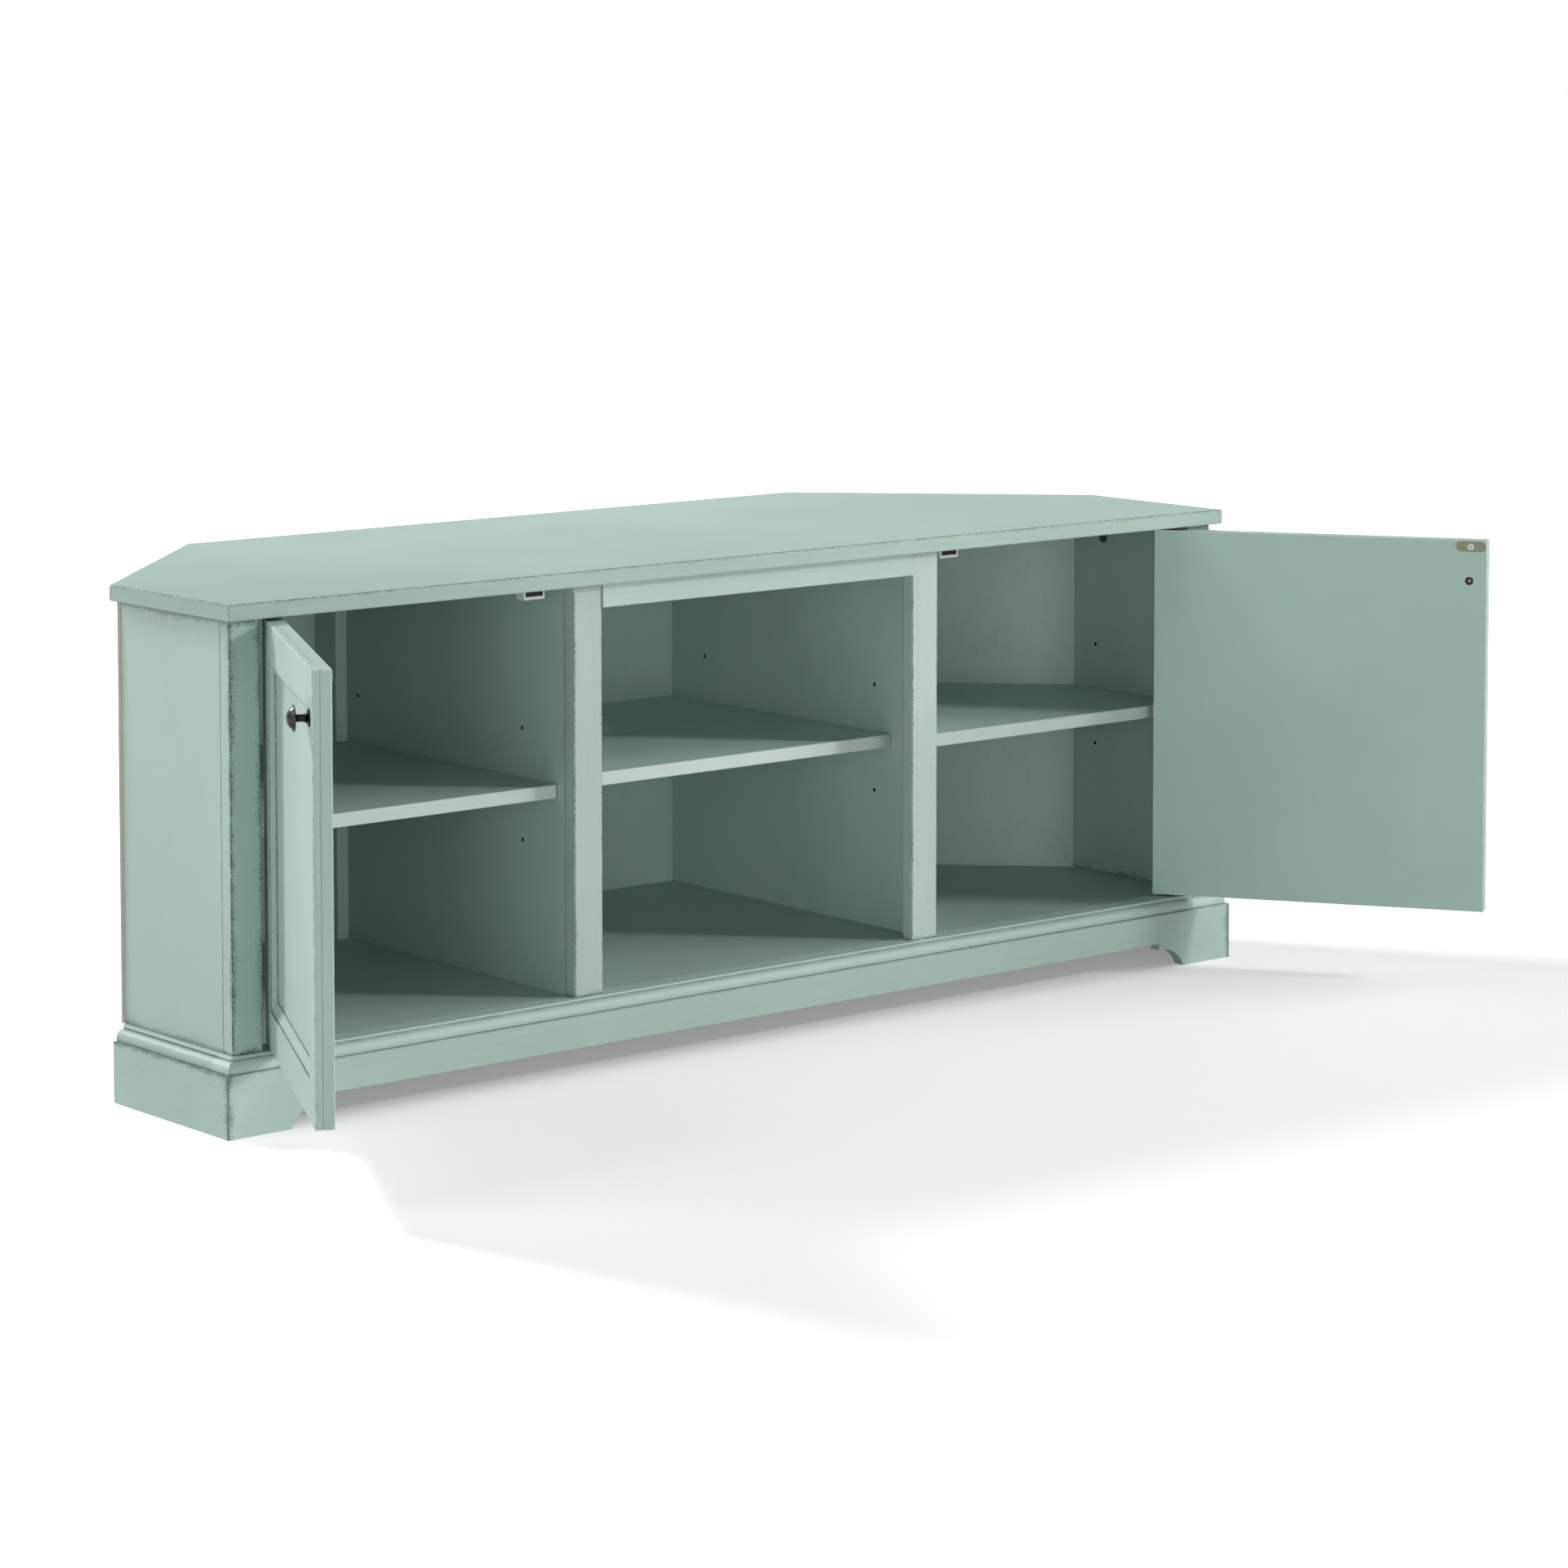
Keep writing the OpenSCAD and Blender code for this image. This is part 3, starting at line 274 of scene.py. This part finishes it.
def painted(node, colour, grain, axes=CABINET, directions=CABINET_BOX, *, glaze, wear_and_highlight, reach=4 * MM,
            creases=(), crease_glaze_and_shade=0.7, crease_reach=6 * MM, arris_colour=WORN_DARK, wash=0.3, streak=0.02,
            rough=0.52, gloss=0.3, relief=0.5, other=None, bore_shade=None, shaded_holes=False, painted_light_drift=None):
    """Brushed paint on a CAD node: dark glaze along its edges, glaze and painted shade in its creases, marked
    arrises.

    grain is the axis that the brush followed. directions are those of the node's outer faces, which meet
    in its arrises, and creases are planes whose lines on the surface hold glaze and painted shade. glaze and
    wear are how much there is of each, from 0 to 1, and worn is the colour of the arrises: dark for chipped
    paint, pale for a painted highlight with some chipping. other is a second colour with the function that
    says where it is, and bore is the function that says where painted shade fills a hole. drilled paints
    shade on the walls of all holes. drift is painted light: an axis, two places on it and what each adds
    to the tone."""
    g = Graph(f"{node}_paint")
    strokes = [110.0, 110.0, 110.0]
    strokes[grain] = 3.0
    streaks = g.noise(g.along(axes, strokes), 4.0, 4.0, 0.6)
    clouds = g.noise(g.point, 4.5, 4.0, 0.55)
    patches = g.noise(g.point, 30.0, 3.0, 0.6)
    specks = g.noise(g.point, 620.0, 3.0, 0.65)
    chips = g.noise(g.point, 90.0, 6.0, 0.8)

    tone = g.math("ADD", g.ramp(clouds, 0.3, 0.7, 0.965, 1.03), g.ramp(streaks, 0.3, 0.7, -streak, streak))
    tone = g.math("ADD", tone, g.ramp(specks, 0.3, 0.7, -0.012, 0.012))
    # Painted light: a tone that changes along an axis.
    if painted_light_drift:
        tone = g.math("ADD", tone, g.ramp(g.dot(painted_light_drift[0]), *painted_light_drift[1:]))
    base = g.shade(g.mix(other[1](g), colour, other[0]) if other else colour, tone)

    planes = [(direction, span(node, direction)[1]) for direction in directions]
    edge = g.edge_distance(planes)
    cover = g.math("MULTIPLY", g.glazed(edge, reach, specks, patches, wash), glaze)
    # Glaze and painted shade along the creases, with a stronger wash than on the edges.
    if creases:
        crease = g.glazed(g.line_distance(creases), crease_reach, specks, patches, 1.7 * wash)
        crease = g.math("MULTIPLY", crease, g.ramp(chips, 0.36, 0.56, 0.55 * crease_glaze_and_shade, crease_glaze_and_shade))
        cover = g.math("MAXIMUM", cover, crease)
    finish = g.mix(cover, base, GLAZE_AND_SHADE)
    # Arris marks: dark ones are wear, pale ones are a painted highlight with some wear.
    arris = g.ramp(edge, 0.6 * MM, 1.1 * MM, 1.0, 0.0)
    rubbed_and_lit = g.math("MULTIPLY", g.ramp(chips, 0.44, 0.55, 0.08, 1.0), wear_and_highlight)
    finish = g.mix(g.math("MULTIPLY", arris, rubbed_and_lit), finish, arris_colour)
    # Painted shade in the knob's bore and on the walls of holes.
    if bore_shade:
        finish = g.mix(bore_shade(g), finish, HOLE_SHADE)
    if shaded_holes:
        finish = g.mix(g.ramp(g.depth(planes), 0.3 * MM, 0.7 * MM), finish, HOLE_SHADE)

    g.feed(g.shader.inputs["Base Color"], finish)
    g.feed(g.shader.inputs["Roughness"], g.ramp(streaks, 0.2, 0.8, rough - 0.05, rough + 0.06))
    g.shader.inputs["Specular IOR Level"].default_value = gloss
    bristles = g.math("ADD", streaks, g.math("MULTIPLY", g.noise(g.point, 240.0, 2.0), 0.6))
    g.feed(g.shader.inputs["Normal"], g.bump(bristles, 0.10 * MM, relief))
    dress([node], g.material)


def wood(name, colour, axes, grain):
    """Unpainted softwood with its growth rings along the grain."""
    g = Graph(name)
    lengthwise = [60.0, 60.0, 60.0]
    lengthwise[grain] = 5.0
    rings = g.noise(g.along(axes, lengthwise), 0.8, 3.0, 0.5)
    fibre = g.noise(g.along(axes, [8 * scale for scale in lengthwise]), 1.5, 3.0, 0.6)
    lines = g.math("PINGPONG", g.math("MULTIPLY", rings, 9.0), 1.0)
    tone = g.math("ADD", g.ramp(lines, 0.1, 0.9, 0.82, 1.06), g.ramp(fibre, 0.3, 0.7, -0.06, 0.06))
    g.feed(g.shader.inputs["Base Color"], g.shade(colour, tone))
    g.feed(g.shader.inputs["Roughness"], g.ramp(fibre, 0.2, 0.8, 0.62, 0.8))
    g.feed(g.shader.inputs["Normal"], g.bump(fibre, 0.15 * MM, 0.5))
    return g.material


def metal(name, colour, dark, rough, scale=900.0, patina=0.5, bump=0.02 * MM, mark=None):
    """Metal with a darker patina in patches and a fine tooled surface; mark is a colour and where it is."""
    g = Graph(name)
    patches = g.noise(g.point, scale * 0.2, 4.0, 0.65)
    fine = g.noise(g.point, scale, 3.0, 0.6)
    finish = g.mix(g.ramp(patches, 0.35, 0.65, 0.0, patina), colour, dark)
    if mark:
        finish = g.mix(mark[1](g), finish, mark[0])
    g.feed(g.shader.inputs["Base Color"], finish)
    g.shader.inputs["Metallic"].default_value = 1.0
    g.feed(g.shader.inputs["Roughness"], g.ramp(fine, 0.25, 0.75, rough - 0.07, rough + 0.1))
    g.feed(g.shader.inputs["Normal"], g.bump(fine, bump, 0.6))
    return g.material


def plastic(name, colour, rough):
    """Moulded plastic with a fine spark-eroded grain."""
    g = Graph(name)
    grain = g.noise(g.point, 1500.0, 2.0, 0.6)
    clouds = g.noise(g.point, 60.0, 3.0)
    tone = g.ramp(clouds, 0.3, 0.7, 0.94, 1.03)
    g.feed(g.shader.inputs["Base Color"], g.shade(colour, tone))
    g.feed(g.shader.inputs["Roughness"], g.ramp(grain, 0.2, 0.8, rough - 0.05, rough + 0.08))
    g.feed(g.shader.inputs["Normal"], g.bump(grain, 0.02 * MM, 0.5))
    return g.material


def board(name, face_colour, faces, across):
    """Thin board painted where the function faces says, and raw elsewhere; across is its width's axis."""
    g = Graph(name)
    fibre = g.noise(g.point, 420.0, 4.0, 0.65)
    clouds = g.noise(g.point, 5.0, 3.0)
    figure = g.noise(g.along((across, Z, Y), (14.0, 1.6, 0.0)), 4.0, 3.0, 0.6)
    grain = g.math("PINGPONG", g.math("MULTIPLY", figure, 14.0), 1.0)
    tone = g.math("ADD", g.ramp(clouds, 0.3, 0.7, 0.95, 1.03), g.ramp(fibre, 0.3, 0.7, -0.03, 0.03))
    tone = g.math("ADD", tone, g.ramp(grain, 0.0, 0.3, -0.05, 0.0))
    g.feed(g.shader.inputs["Base Color"], g.shade(g.mix(faces(g), RAW_BOARD, face_colour), tone))
    g.feed(g.shader.inputs["Roughness"], g.ramp(fibre, 0.2, 0.8, 0.5, 0.7))
    relief = g.math("ADD", fibre, g.ramp(grain, 0.0, 0.3))
    g.feed(g.shader.inputs["Normal"], g.bump(relief, 0.1 * MM, 0.5))
    return g.material


def dress(nodes, material):
    for name in nodes:
        slots = frame["nodes"][name].data.materials
        slots.clear()
        slots.append(material)


def beyond(direction, offset, soft=0.5 * MM):
    """Where the surface is further along a direction than an offset."""
    return lambda g: g.ramp(g.dot(direction), offset - soft, offset + soft)


def within(centre, axes, radius, direction=None, offset=0.0):
    """Where the surface is nearer to a line than a radius, and short of an offset along a direction."""
    def where(g):
        inside = g.ramp(g.radius(centre, axes), radius - 0.2 * MM, radius + 0.2 * MM, 1.0, 0.0)
        if direction is None:
            return inside
        return g.math("MULTIPLY", inside, g.ramp(g.dot(direction), offset - 0.2 * MM, offset, 1.0, 0.0))
    return where


def turned(mesh, profile, origin, axis, steps):
    """Adds to a mesh the form that a profile of (radius, height) points makes round an axis."""
    side = axis.orthogonal().normalized()
    other = axis.cross(side)
    rings = []
    for radius, height in profile:
        count = steps if radius > 0 else 1
        turns = [2 * math.pi * i / steps for i in range(count)]
        rings.append([
            mesh.verts.new(origin + axis * height + (side * math.cos(t) + other * math.sin(t)) * radius)
            for t in turns
        ])
    for lower, upper in zip(rings, rings[1:]):
        for i in range(steps):
            j = (i + 1) % steps
            corners = [ring[k % len(ring)] for ring, k in ((lower, i), (lower, j), (upper, j), (upper, i))]
            mesh.faces.new(list(dict.fromkeys(corners))).smooth = True


def piece(name, mesh, body, material):
    """A finished bmesh as an object that rides on a body."""
    bmesh.ops.recalc_face_normals(mesh, faces=mesh.faces)
    data = bpy.data.meshes.new(name)
    mesh.to_mesh(data)
    mesh.free()
    data.materials.append(material)
    made = bpy.data.objects.new(name, data)
    bpy.context.scene.collection.objects.link(made)
    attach(made, body)
    return made


# Paint on the cabinet
# Crease lines under the top, on the base, on the plinth and at the quirk hold glaze and painted shade.
under_top = (Z, ROOF_Z)
on_base = (Z, FLOOR_Z)
on_plinth = (Z, PLINTH_TOP)

upper_arrises = [direction for direction in CABINET_BOX + DIAGONALS if direction != -Z]
# The top is painted darker to the left, as painted light.
painted("top_panel", EDGE_PAINT_AND_LIGHT, 0, directions=upper_arrises, glaze=0.5, reach=5 * MM, wear_and_highlight=0.9, rough=0.58,
        gloss=0.12, wash=0.2, streak=0.03, painted_light_drift=(X, -0.9, 0.2, -0.13, 0.05),
        other=(TOP_PAINT_AND_LIGHT, beyond(Z, TOP_Z - COAT, 0.3 * MM)))
for side, out in (("left", -X), ("right", X)):
    painted(f"{side}_stile", STILE_PAINT_AND_LIGHT, 2, directions=FRAME_FRONT, creases=[under_top, on_base], glaze=0.9,
            reach=10 * MM, wear_and_highlight=0.95, wash=0.4, crease_reach=11 * MM, crease_glaze_and_shade=0.95,
            other=(SIDE_PAINT_AND_LIGHT, beyond(out, span(f"{side}_stile", out)[1] - 1.5 * MM)))
    painted(f"{side}_mullion", tinted(MULLION_PAINT_AND_LIGHT, MULLION_PAINTED_LIGHT[side]), 2, directions=FRAME_FRONT,
            creases=[under_top, on_base], glaze=0.8, wear_and_highlight=0.9, crease_reach=7 * MM, crease_glaze_and_shade=0.9)
    panel = f"{side}_side_panel"
    painted(panel, SIDE_PAINT_AND_LIGHT, 2, directions=CABINET_BOX + DIAGONALS, creases=[under_top, on_base],
            glaze=0.35, reach=3 * MM, wear_and_highlight=0.3, crease_reach=13 * MM, crease_glaze_and_shade=0.9,
            other=(tinted(INSIDE_PAINT_AND_SHADE, SIDE_INSIDE_PAINTED_SHADE), beyond(-out, -span(panel, out)[1] + 4 * MM)),
            shaded_holes=True)
    painted(f"{side}_plinth", PLINTH_PAINT_AND_LIGHT, 1, directions=UPRIGHT_ARRISES, creases=[on_plinth], glaze=0.95,
            reach=14 * MM, wash=0.6, crease_glaze_and_shade=0.7, crease_reach=8 * MM, wear_and_highlight=0.7)
    divider = f"{side}_divider"
    # Dividers are painted lighter towards the front, as painted light, and lighter or darker by side.
    painted(divider, tinted(INSIDE_PAINT_AND_SHADE, DIVIDER_PAINTED_LIGHT[side]), 2, glaze=0.1, wear_and_highlight=0.2, wash=0.1,
            painted_light_drift=(-Y, middle(divider, -Y), span(divider, -Y)[1], 0.0, 0.17), shaded_holes=True)
    painted(f"{side}_cleat", INSIDE_PAINT_AND_SHADE, 2, glaze=0.1, wear_and_highlight=0.2, wash=0.1)
    painted(f"{side}_diagonal_plinth", BODY_PAINT, 0, glaze=0.2, wear_and_highlight=0.3)
painted("front_plinth", PLINTH_PAINT_AND_LIGHT, 0, directions=UPRIGHT_ARRISES, creases=[on_plinth], glaze=0.95,
        reach=14 * MM, wash=0.6, crease_glaze_and_shade=0.35, crease_reach=3 * MM, wear_and_highlight=0.7)
painted("back_plinth", BODY_PAINT, 0, glaze=0.2, wear_and_highlight=0.3)
# The rail's pale arris marks are painted highlights with some wear.
painted("middle_rail", RAIL_PAINT_AND_LIGHT, 0, creases=[under_top], glaze=0.3, reach=2 * MM, wear_and_highlight=0.5,
        arris_colour=PALE_WEAR_AND_HIGHLIGHT, crease_reach=4 * MM)
painted("bottom_panel", BODY_PAINT, 0, directions=CABINET_BOX + DIAGONALS, creases=[on_plinth, (Z, QUIRK_Z)],
        glaze=0.3, reach=3 * MM, wear_and_highlight=0.15, crease_reach=1.8 * MM, crease_glaze_and_shade=0.4,
        other=(tinted(INSIDE_PAINT_AND_SHADE, BOTTOM_PAINTED_SHADE), beyond(Y, FRONT_Y + FRAME_T)))
# The shelves' pale arris marks are painted highlights with some wear.
for side, lip in (("left", LIP_PAINT_AND_LIGHT), ("middle", MIDDLE_LIP_PAINT_AND_LIGHT), ("right", LIP_PAINT_AND_LIGHT)):
    shelf = f"{side}_shelf"
    painted(shelf, tinted(INSIDE_PAINT_AND_SHADE, SHELF_PAINTED_LIGHT[side]), 0, glaze=0.0, wear_and_highlight=0.35, arris_colour=PALE_WEAR_AND_HIGHLIGHT,
            other=(lip, beyond(-Y, span(shelf, -Y)[1] - COAT, COAT_BORDER)))

# Back boards and unpainted wood
painted_backs = [("middle", Y, X, MIDDLE_BACK_PAINT_AND_SHADE)]
painted_backs += [
    (side, diagonal, diagonal.cross(Z), tinted(INSIDE_PAINT_AND_SHADE, BACK_PAINTED_SHADE[side]))
    for side, diagonal in zip(("left", "right"), DIAGONALS)
]
for side, outwards, across, paint in painted_backs:
    panel = f"{side}_back_panel"
    inner_face = beyond(-outwards, span(panel, -outwards)[1] - COAT, COAT_BORDER)
    dress([panel], board(f"{side}_back_board", paint, inner_face, across))
dress(["corner_blocks"], wood("upright_pine", PINE, CABINET, 2))
dress(["base_stretchers"], wood("stretcher_pine", PINE, CABINET, 1))
dress(["dowels"], wood("dowel_beech", BEECH, CABINET, 0))

# Fittings
zinc = metal("zinc_steel", (0.62, 0.62, 0.60), (0.40, 0.40, 0.38), 0.32)
# The cam locks' casting is dark grey, partly as painted shade of the holes they sit in.
zinc_casting = metal("zinc_casting", (0.16, 0.16, 0.155), (0.07, 0.07, 0.07), 0.5)
nickel = metal("dull_nickel", (0.155, 0.165, 0.118), (0.110, 0.118, 0.082), 0.46)
magnet = metal("magnet_steel", (0.030, 0.032, 0.030), (0.015, 0.016, 0.015), 0.55)
white = plastic("white_plastic", (0.72, 0.77, 0.70), 0.42)
dark = plastic("dark_plastic", (0.025, 0.025, 0.027), 0.5)
dress(["shelf_supports", "cam_bolts", "pivot_sockets", "catch_screws"], zinc)
dress(["cam_locks"], zinc_casting)
dress(["catch_housings"], white)
dress(["catch_magnets"], magnet)

# Doors and their knobs. The knob's profile is its radius and height above the door in mm, from the foot over
# the flare, the neck and the rim to the domed cap.
KNOB_BORE_R = 5.3 * MM
KNOB_STEM_L = 15.2 * MM
BRIGHT_SCREW_R = 2.0 * MM
SCREW_RECESS = 0.25 * MM
KNOB_STEPS = 64
KNOB_PROFILE = [(0.0, 0.0), (9.25, 0.0), (9.25, 1.1), (9.1, 1.5), (8.8, 1.7)]
KNOB_PROFILE += [
    (8.8 + 5.0 * math.cos(math.radians(a)), 7.2 + 5.5 * math.sin(math.radians(a)))
    for a in range(-100, -181, -10)
]
KNOB_PROFILE += [(3.8, 11.6), (4.0, 12.6), (4.7, 13.6), (6.0, 14.3), (9.0, 14.5), (12.6, 14.5)]
KNOB_PROFILE += [
    (12.85 + 0.9 * math.cos(math.radians(a)), 15.4 + 0.9 * math.sin(math.radians(a)))
    for a in range(-75, 91, 15)
]
KNOB_PROFILE += [(12.4, 16.0), (12.1, 15.95), (11.8, 16.2), (11.6, 16.6)]
KNOB_PROFILE += [
    (13.2 * math.sin(math.radians(a)), 9.8 + 13.2 * math.cos(math.radians(a)))
    for a in range(56, -1, -4)
]

for body, (across, inwards, up) in DOORS.items():
    side = body.split("_")[0]
    axes = (across, inwards, up)
    slab = f"{side}_door_slab"
    hinge_edge, free_edge = span(slab, across)
    foot, head = span(slab, up)
    inner_face = span(slab, inwards)[1]
    panel_edges = [
        (across, hinge_edge + DOOR_STILE_W), (across, free_edge - DOOR_STILE_W),
        (up, foot + DOOR_RAIL_W), (up, head - DOOR_RAIL_W),
    ]
    moulding_feet = [
        (across, hinge_edge + DOOR_STILE_W + MOULD_W), (across, free_edge - DOOR_STILE_W - MOULD_W),
        (up, foot + DOOR_RAIL_W + MOULD_W), (up, head - DOOR_RAIL_W - MOULD_W),
    ]
    around = [across, -across, up, -up]
    knob = f"{side}_knob"
    knob_middle = across * middle(knob, across) + up * middle(knob, up) + inwards * span(knob, inwards)[1]
    # Painted shade inside the knob's bore.
    bore_shade = within(knob_middle, (across, up), KNOB_BORE_R, inwards, inner_face - COAT_BORDER)
    # The doors' pale arris marks are painted highlights with some wear.
    painted(slab, DOOR_PAINT_AND_LIGHT, 2, axes, around + [inwards], glaze=0.0, reach=3 * MM, wear_and_highlight=0.9,
            arris_colour=PALE_WEAR_AND_HIGHLIGHT, bore_shade=bore_shade, wash=0.1, streak=0.006, relief=0.15,
            other=(DOOR_INSIDE_PAINT_AND_LIGHT, beyond(inwards, inner_face - COAT, 0.3 * MM)))
    for part, grain, lines in (("stiles", 2, slice(0, 2)), ("rails", 0, slice(2, 4))):
        painted(f"{side}_door_{part}", DOOR_PAINT_AND_LIGHT, grain, axes, around + [-inwards],
                glaze=0.3, reach=3 * MM, wear_and_highlight=0.8, arris_colour=PALE_WEAR_AND_HIGHLIGHT, creases=panel_edges[lines],
                crease_glaze_and_shade=0.6, crease_reach=2.5 * MM)
    for part, grain, lines in (("side", 2, slice(0, 2)), ("end", 0, slice(2, 4))):
        painted(f"{side}_door_{part}_mouldings", DOOR_PAINT_AND_LIGHT, grain, axes, around + [-inwards],
                creases=panel_edges[lines] + moulding_feet[lines], crease_glaze_and_shade=0.85,
                crease_reach=1.6 * MM, glaze=0.3, reach=2 * MM, wear_and_highlight=0.2)
    dress([f"{side}_pivot_pins"], zinc)
    dress([f"{side}_strike_plate"], nickel)
    screw = f"{side}_strike_screw"
    # The cross in the screw head is painted dark, as painted shade in the recess.
    recess_shade = beyond(-inwards, SCREW_RECESS - span(screw, inwards)[1], 0.1 * MM)
    dress([screw], metal(f"{side}_pale_zinc", (0.37, 0.385, 0.38), (0.30, 0.31, 0.305), 0.42,
                         mark=((0.06, 0.07, 0.08), recess_shade)))
    # The knob screw is painted near black, as painted shade in its bore, with brass round its middle.
    bright = within(knob_middle, (across, up), BRIGHT_SCREW_R)
    dress([f"{side}_knob_screw"], metal(f"{side}_brass_screw", (0.022, 0.022, 0.018), (0.014, 0.014, 0.011),
                                        0.40, mark=((0.22, 0.18, 0.09), bright)))
    dress([f"{side}_pivot_bushes"], dark)

    stem = beyond(inwards, knob_middle.dot(inwards) - KNOB_STEM_L, COAT_BORDER)
    bronze = metal(f"{side}_antique_bronze", (0.050, 0.052, 0.037), (0.017, 0.019, 0.014), 0.25,
                   scale=420.0, patina=0.7, bump=0.04 * MM, mark=((0.014, 0.016, 0.013), stem))
    form = bmesh.new()
    turned(form, [(r * MM, h * MM) for r, h in KNOB_PROFILE], knob_middle, -inwards, KNOB_STEPS)
    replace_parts(piece(f"{side}_turned_knob", form, body, bronze), knob)

# Nails that hold the back panels. The profile of a head is in mm too, and starts under the surface.
NAIL_PROFILE = [(0.0, -0.5), (2.3, -0.5), (2.3, 0.15), (2.1, 0.45), (1.6, 0.65), (0.8, 0.77), (0.0, 0.8)]
NAIL_STEPS = 16
DIVIDER_NAIL_X = 264.5 * MM
BASE_NAIL_Z = PLINTH_TOP + 8 * MM
EDGE_TO_NAIL = 9 * MM
rows = [FLOOR_Z + (30 + 80 * i) * MM for i in range(6)]
spots = [(Vector((x, BACK_Y, z)), Y) for x in (-DIVIDER_NAIL_X, DIVIDER_NAIL_X) for z in rows]
spots += [(Vector((x * MM, BACK_Y, BASE_NAIL_Z)), Y) for x in range(-420, 421, 105)]
for side, diagonal in zip(("left", "right"), DIAGONALS):
    panel = f"{side}_back_panel"
    outer = span(panel, diagonal)[1]
    out = diagonal.cross(Z) if side == "right" else -diagonal.cross(Z)
    edge = span(panel, out)[1] - EDGE_TO_NAIL
    spots += [(diagonal * outer + out * edge + Z * z, diagonal) for z in rows]
form = bmesh.new()
for place, direction in spots:
    turned(form, [(r * MM, h * MM) for r, h in NAIL_PROFILE], place, direction, NAIL_STEPS)
piece("back_panel_nails", form, "cabinet", zinc)

# Floor, lights and camera. The floor's tint balances the green light that the paint throws on it. Its glow
# makes it white in the picture, rises to 1 between SHADOW_REACH and twice that from the middle, and loses up
# to CONTACT_SHARE of itself within CONTACT_REACH of the object, as a painted contact shadow.
FLOOR_RADIUS = 60
FLOOR_ALBEDO = 0.80
FLOOR_GRAIN = 0.005
FLOOR_TINT = (1.0, 0.970, 0.985)
FLOOR_GLOW = 0.385
SHADOW_REACH = 1.6
CONTACT_REACH = 0.35
CONTACT_SHARE = 0.35
LAMP_TARGET = Vector((0, 0, 0.25))
CAMERA_PLACE = (-3.403, -4.566, 1.182)
CAMERA_DOWN = 4.637
CAMERA_TURN = -40.054
CAMERA_LENS = 106.94
CAMERA_SHIFT = -0.25


def make_floor():
    mesh = bpy.data.meshes.new("floor")
    ring = bmesh.new()
    bmesh.ops.create_circle(ring, cap_ends=True, radius=FLOOR_RADIUS, segments=96)
    ring.to_mesh(mesh)
    ring.free()
    floor = bpy.data.objects.new("floor", mesh)
    bpy.context.scene.collection.objects.link(floor)
    g = Graph("floor_paper")
    g.shader.inputs["Roughness"].default_value = 0.9
    g.shader.inputs["Specular IOR Level"].default_value = 0.1
    albedo = g.ramp(g.noise(g.point, 30.0), 0.3, 0.7, FLOOR_ALBEDO - FLOOR_GRAIN, FLOOR_ALBEDO + FLOOR_GRAIN)
    g.feed(g.shader.inputs["Base Color"], g.shade(FLOOR_TINT, albedo))
    path = g.tree.nodes.new("ShaderNodeLightPath")
    seen = g.math("MAXIMUM", path.outputs["Is Camera Ray"], path.outputs["Is Glossy Ray"])
    seen = g.math("MAXIMUM", seen, path.outputs["Is Transmission Ray"])
    far = g.ramp(g.radius(Vector(), (X, Y)), SHADOW_REACH, 2 * SHADOW_REACH)
    contact_shade = g.tree.nodes.new("ShaderNodeAmbientOcclusion")
    contact_shade.samples = 8
    contact_shade.inputs["Distance"].default_value = CONTACT_REACH
    open_share = g.ramp(contact_shade.outputs["AO"], 0.0, 1.0, 1 - CONTACT_SHARE, 1.0)
    glow = g.math("ADD", FLOOR_GLOW, g.math("MULTIPLY", far, 1 - FLOOR_GLOW))
    glow = g.math("MULTIPLY", glow, open_share)
    g.shader.inputs["Emission Color"].default_value = (1, 1, 1, 1)
    g.feed(g.shader.inputs["Emission Strength"], g.math("MULTIPLY", seen, glow))
    mesh.materials.append(g.material)


def area_light(name, azimuth, elevation, distance, size, strength):
    """A soft square lamp; azimuth is to the right of the front and elevation above the floor, in degrees."""
    turn, rise = math.radians(azimuth), math.radians(elevation)
    direction = Vector((math.sin(turn) * math.cos(rise), -math.cos(turn) * math.cos(rise), math.sin(rise)))
    data = bpy.data.lights.new(name, "AREA")
    data.shape = "SQUARE"
    data.size = size
    data.energy = strength * (math.pi * distance) ** 2
    lamp = bpy.data.objects.new(name, data)
    lamp.location = LAMP_TARGET + direction * distance
    lamp.rotation_euler = direction.to_track_quat("Z", "Y").to_euler()
    bpy.context.scene.collection.objects.link(lamp)


def make_world():
    world = bpy.data.worlds.new("studio")
    world.use_nodes = True
    tree = world.node_tree
    background = tree.nodes["Background"]
    background.inputs["Color"].default_value = (1, 1, 1, 1)
    path = tree.nodes.new("ShaderNodeLightPath")
    seen = tree.nodes.new("ShaderNodeMath")
    seen.operation = "MAXIMUM"
    tree.links.new(path.outputs["Is Camera Ray"], seen.inputs[0])
    tree.links.new(path.outputs["Is Glossy Ray"], seen.inputs[1])
    through = tree.nodes.new("ShaderNodeMath")
    through.operation = "MAXIMUM"
    tree.links.new(seen.outputs[0], through.inputs[0])
    tree.links.new(path.outputs["Is Transmission Ray"], through.inputs[1])
    strength = tree.nodes.new("ShaderNodeMapRange")
    strength.inputs["To Min"].default_value = SKY
    strength.inputs["To Max"].default_value = 1.0
    tree.links.new(through.outputs[0], strength.inputs["Value"])
    tree.links.new(strength.outputs[0], background.inputs["Strength"])
    bpy.context.scene.world = world


def make_camera():
    data = bpy.data.cameras.new("camera")
    data.lens = CAMERA_LENS
    data.sensor_width = 36
    data.shift_y = CAMERA_SHIFT
    data.clip_end = 200
    camera = bpy.data.objects.new("camera", data)
    camera.location = CAMERA_PLACE
    camera.rotation_euler = (math.radians(90 - CAMERA_DOWN), 0, math.radians(CAMERA_TURN))
    bpy.context.scene.collection.objects.link(camera)
    bpy.context.scene.camera = camera


make_floor()
make_world()
for lamp in LAMPS:
    area_light(*lamp)
make_camera()
bpy.context.scene.view_settings.view_transform = "Standard"
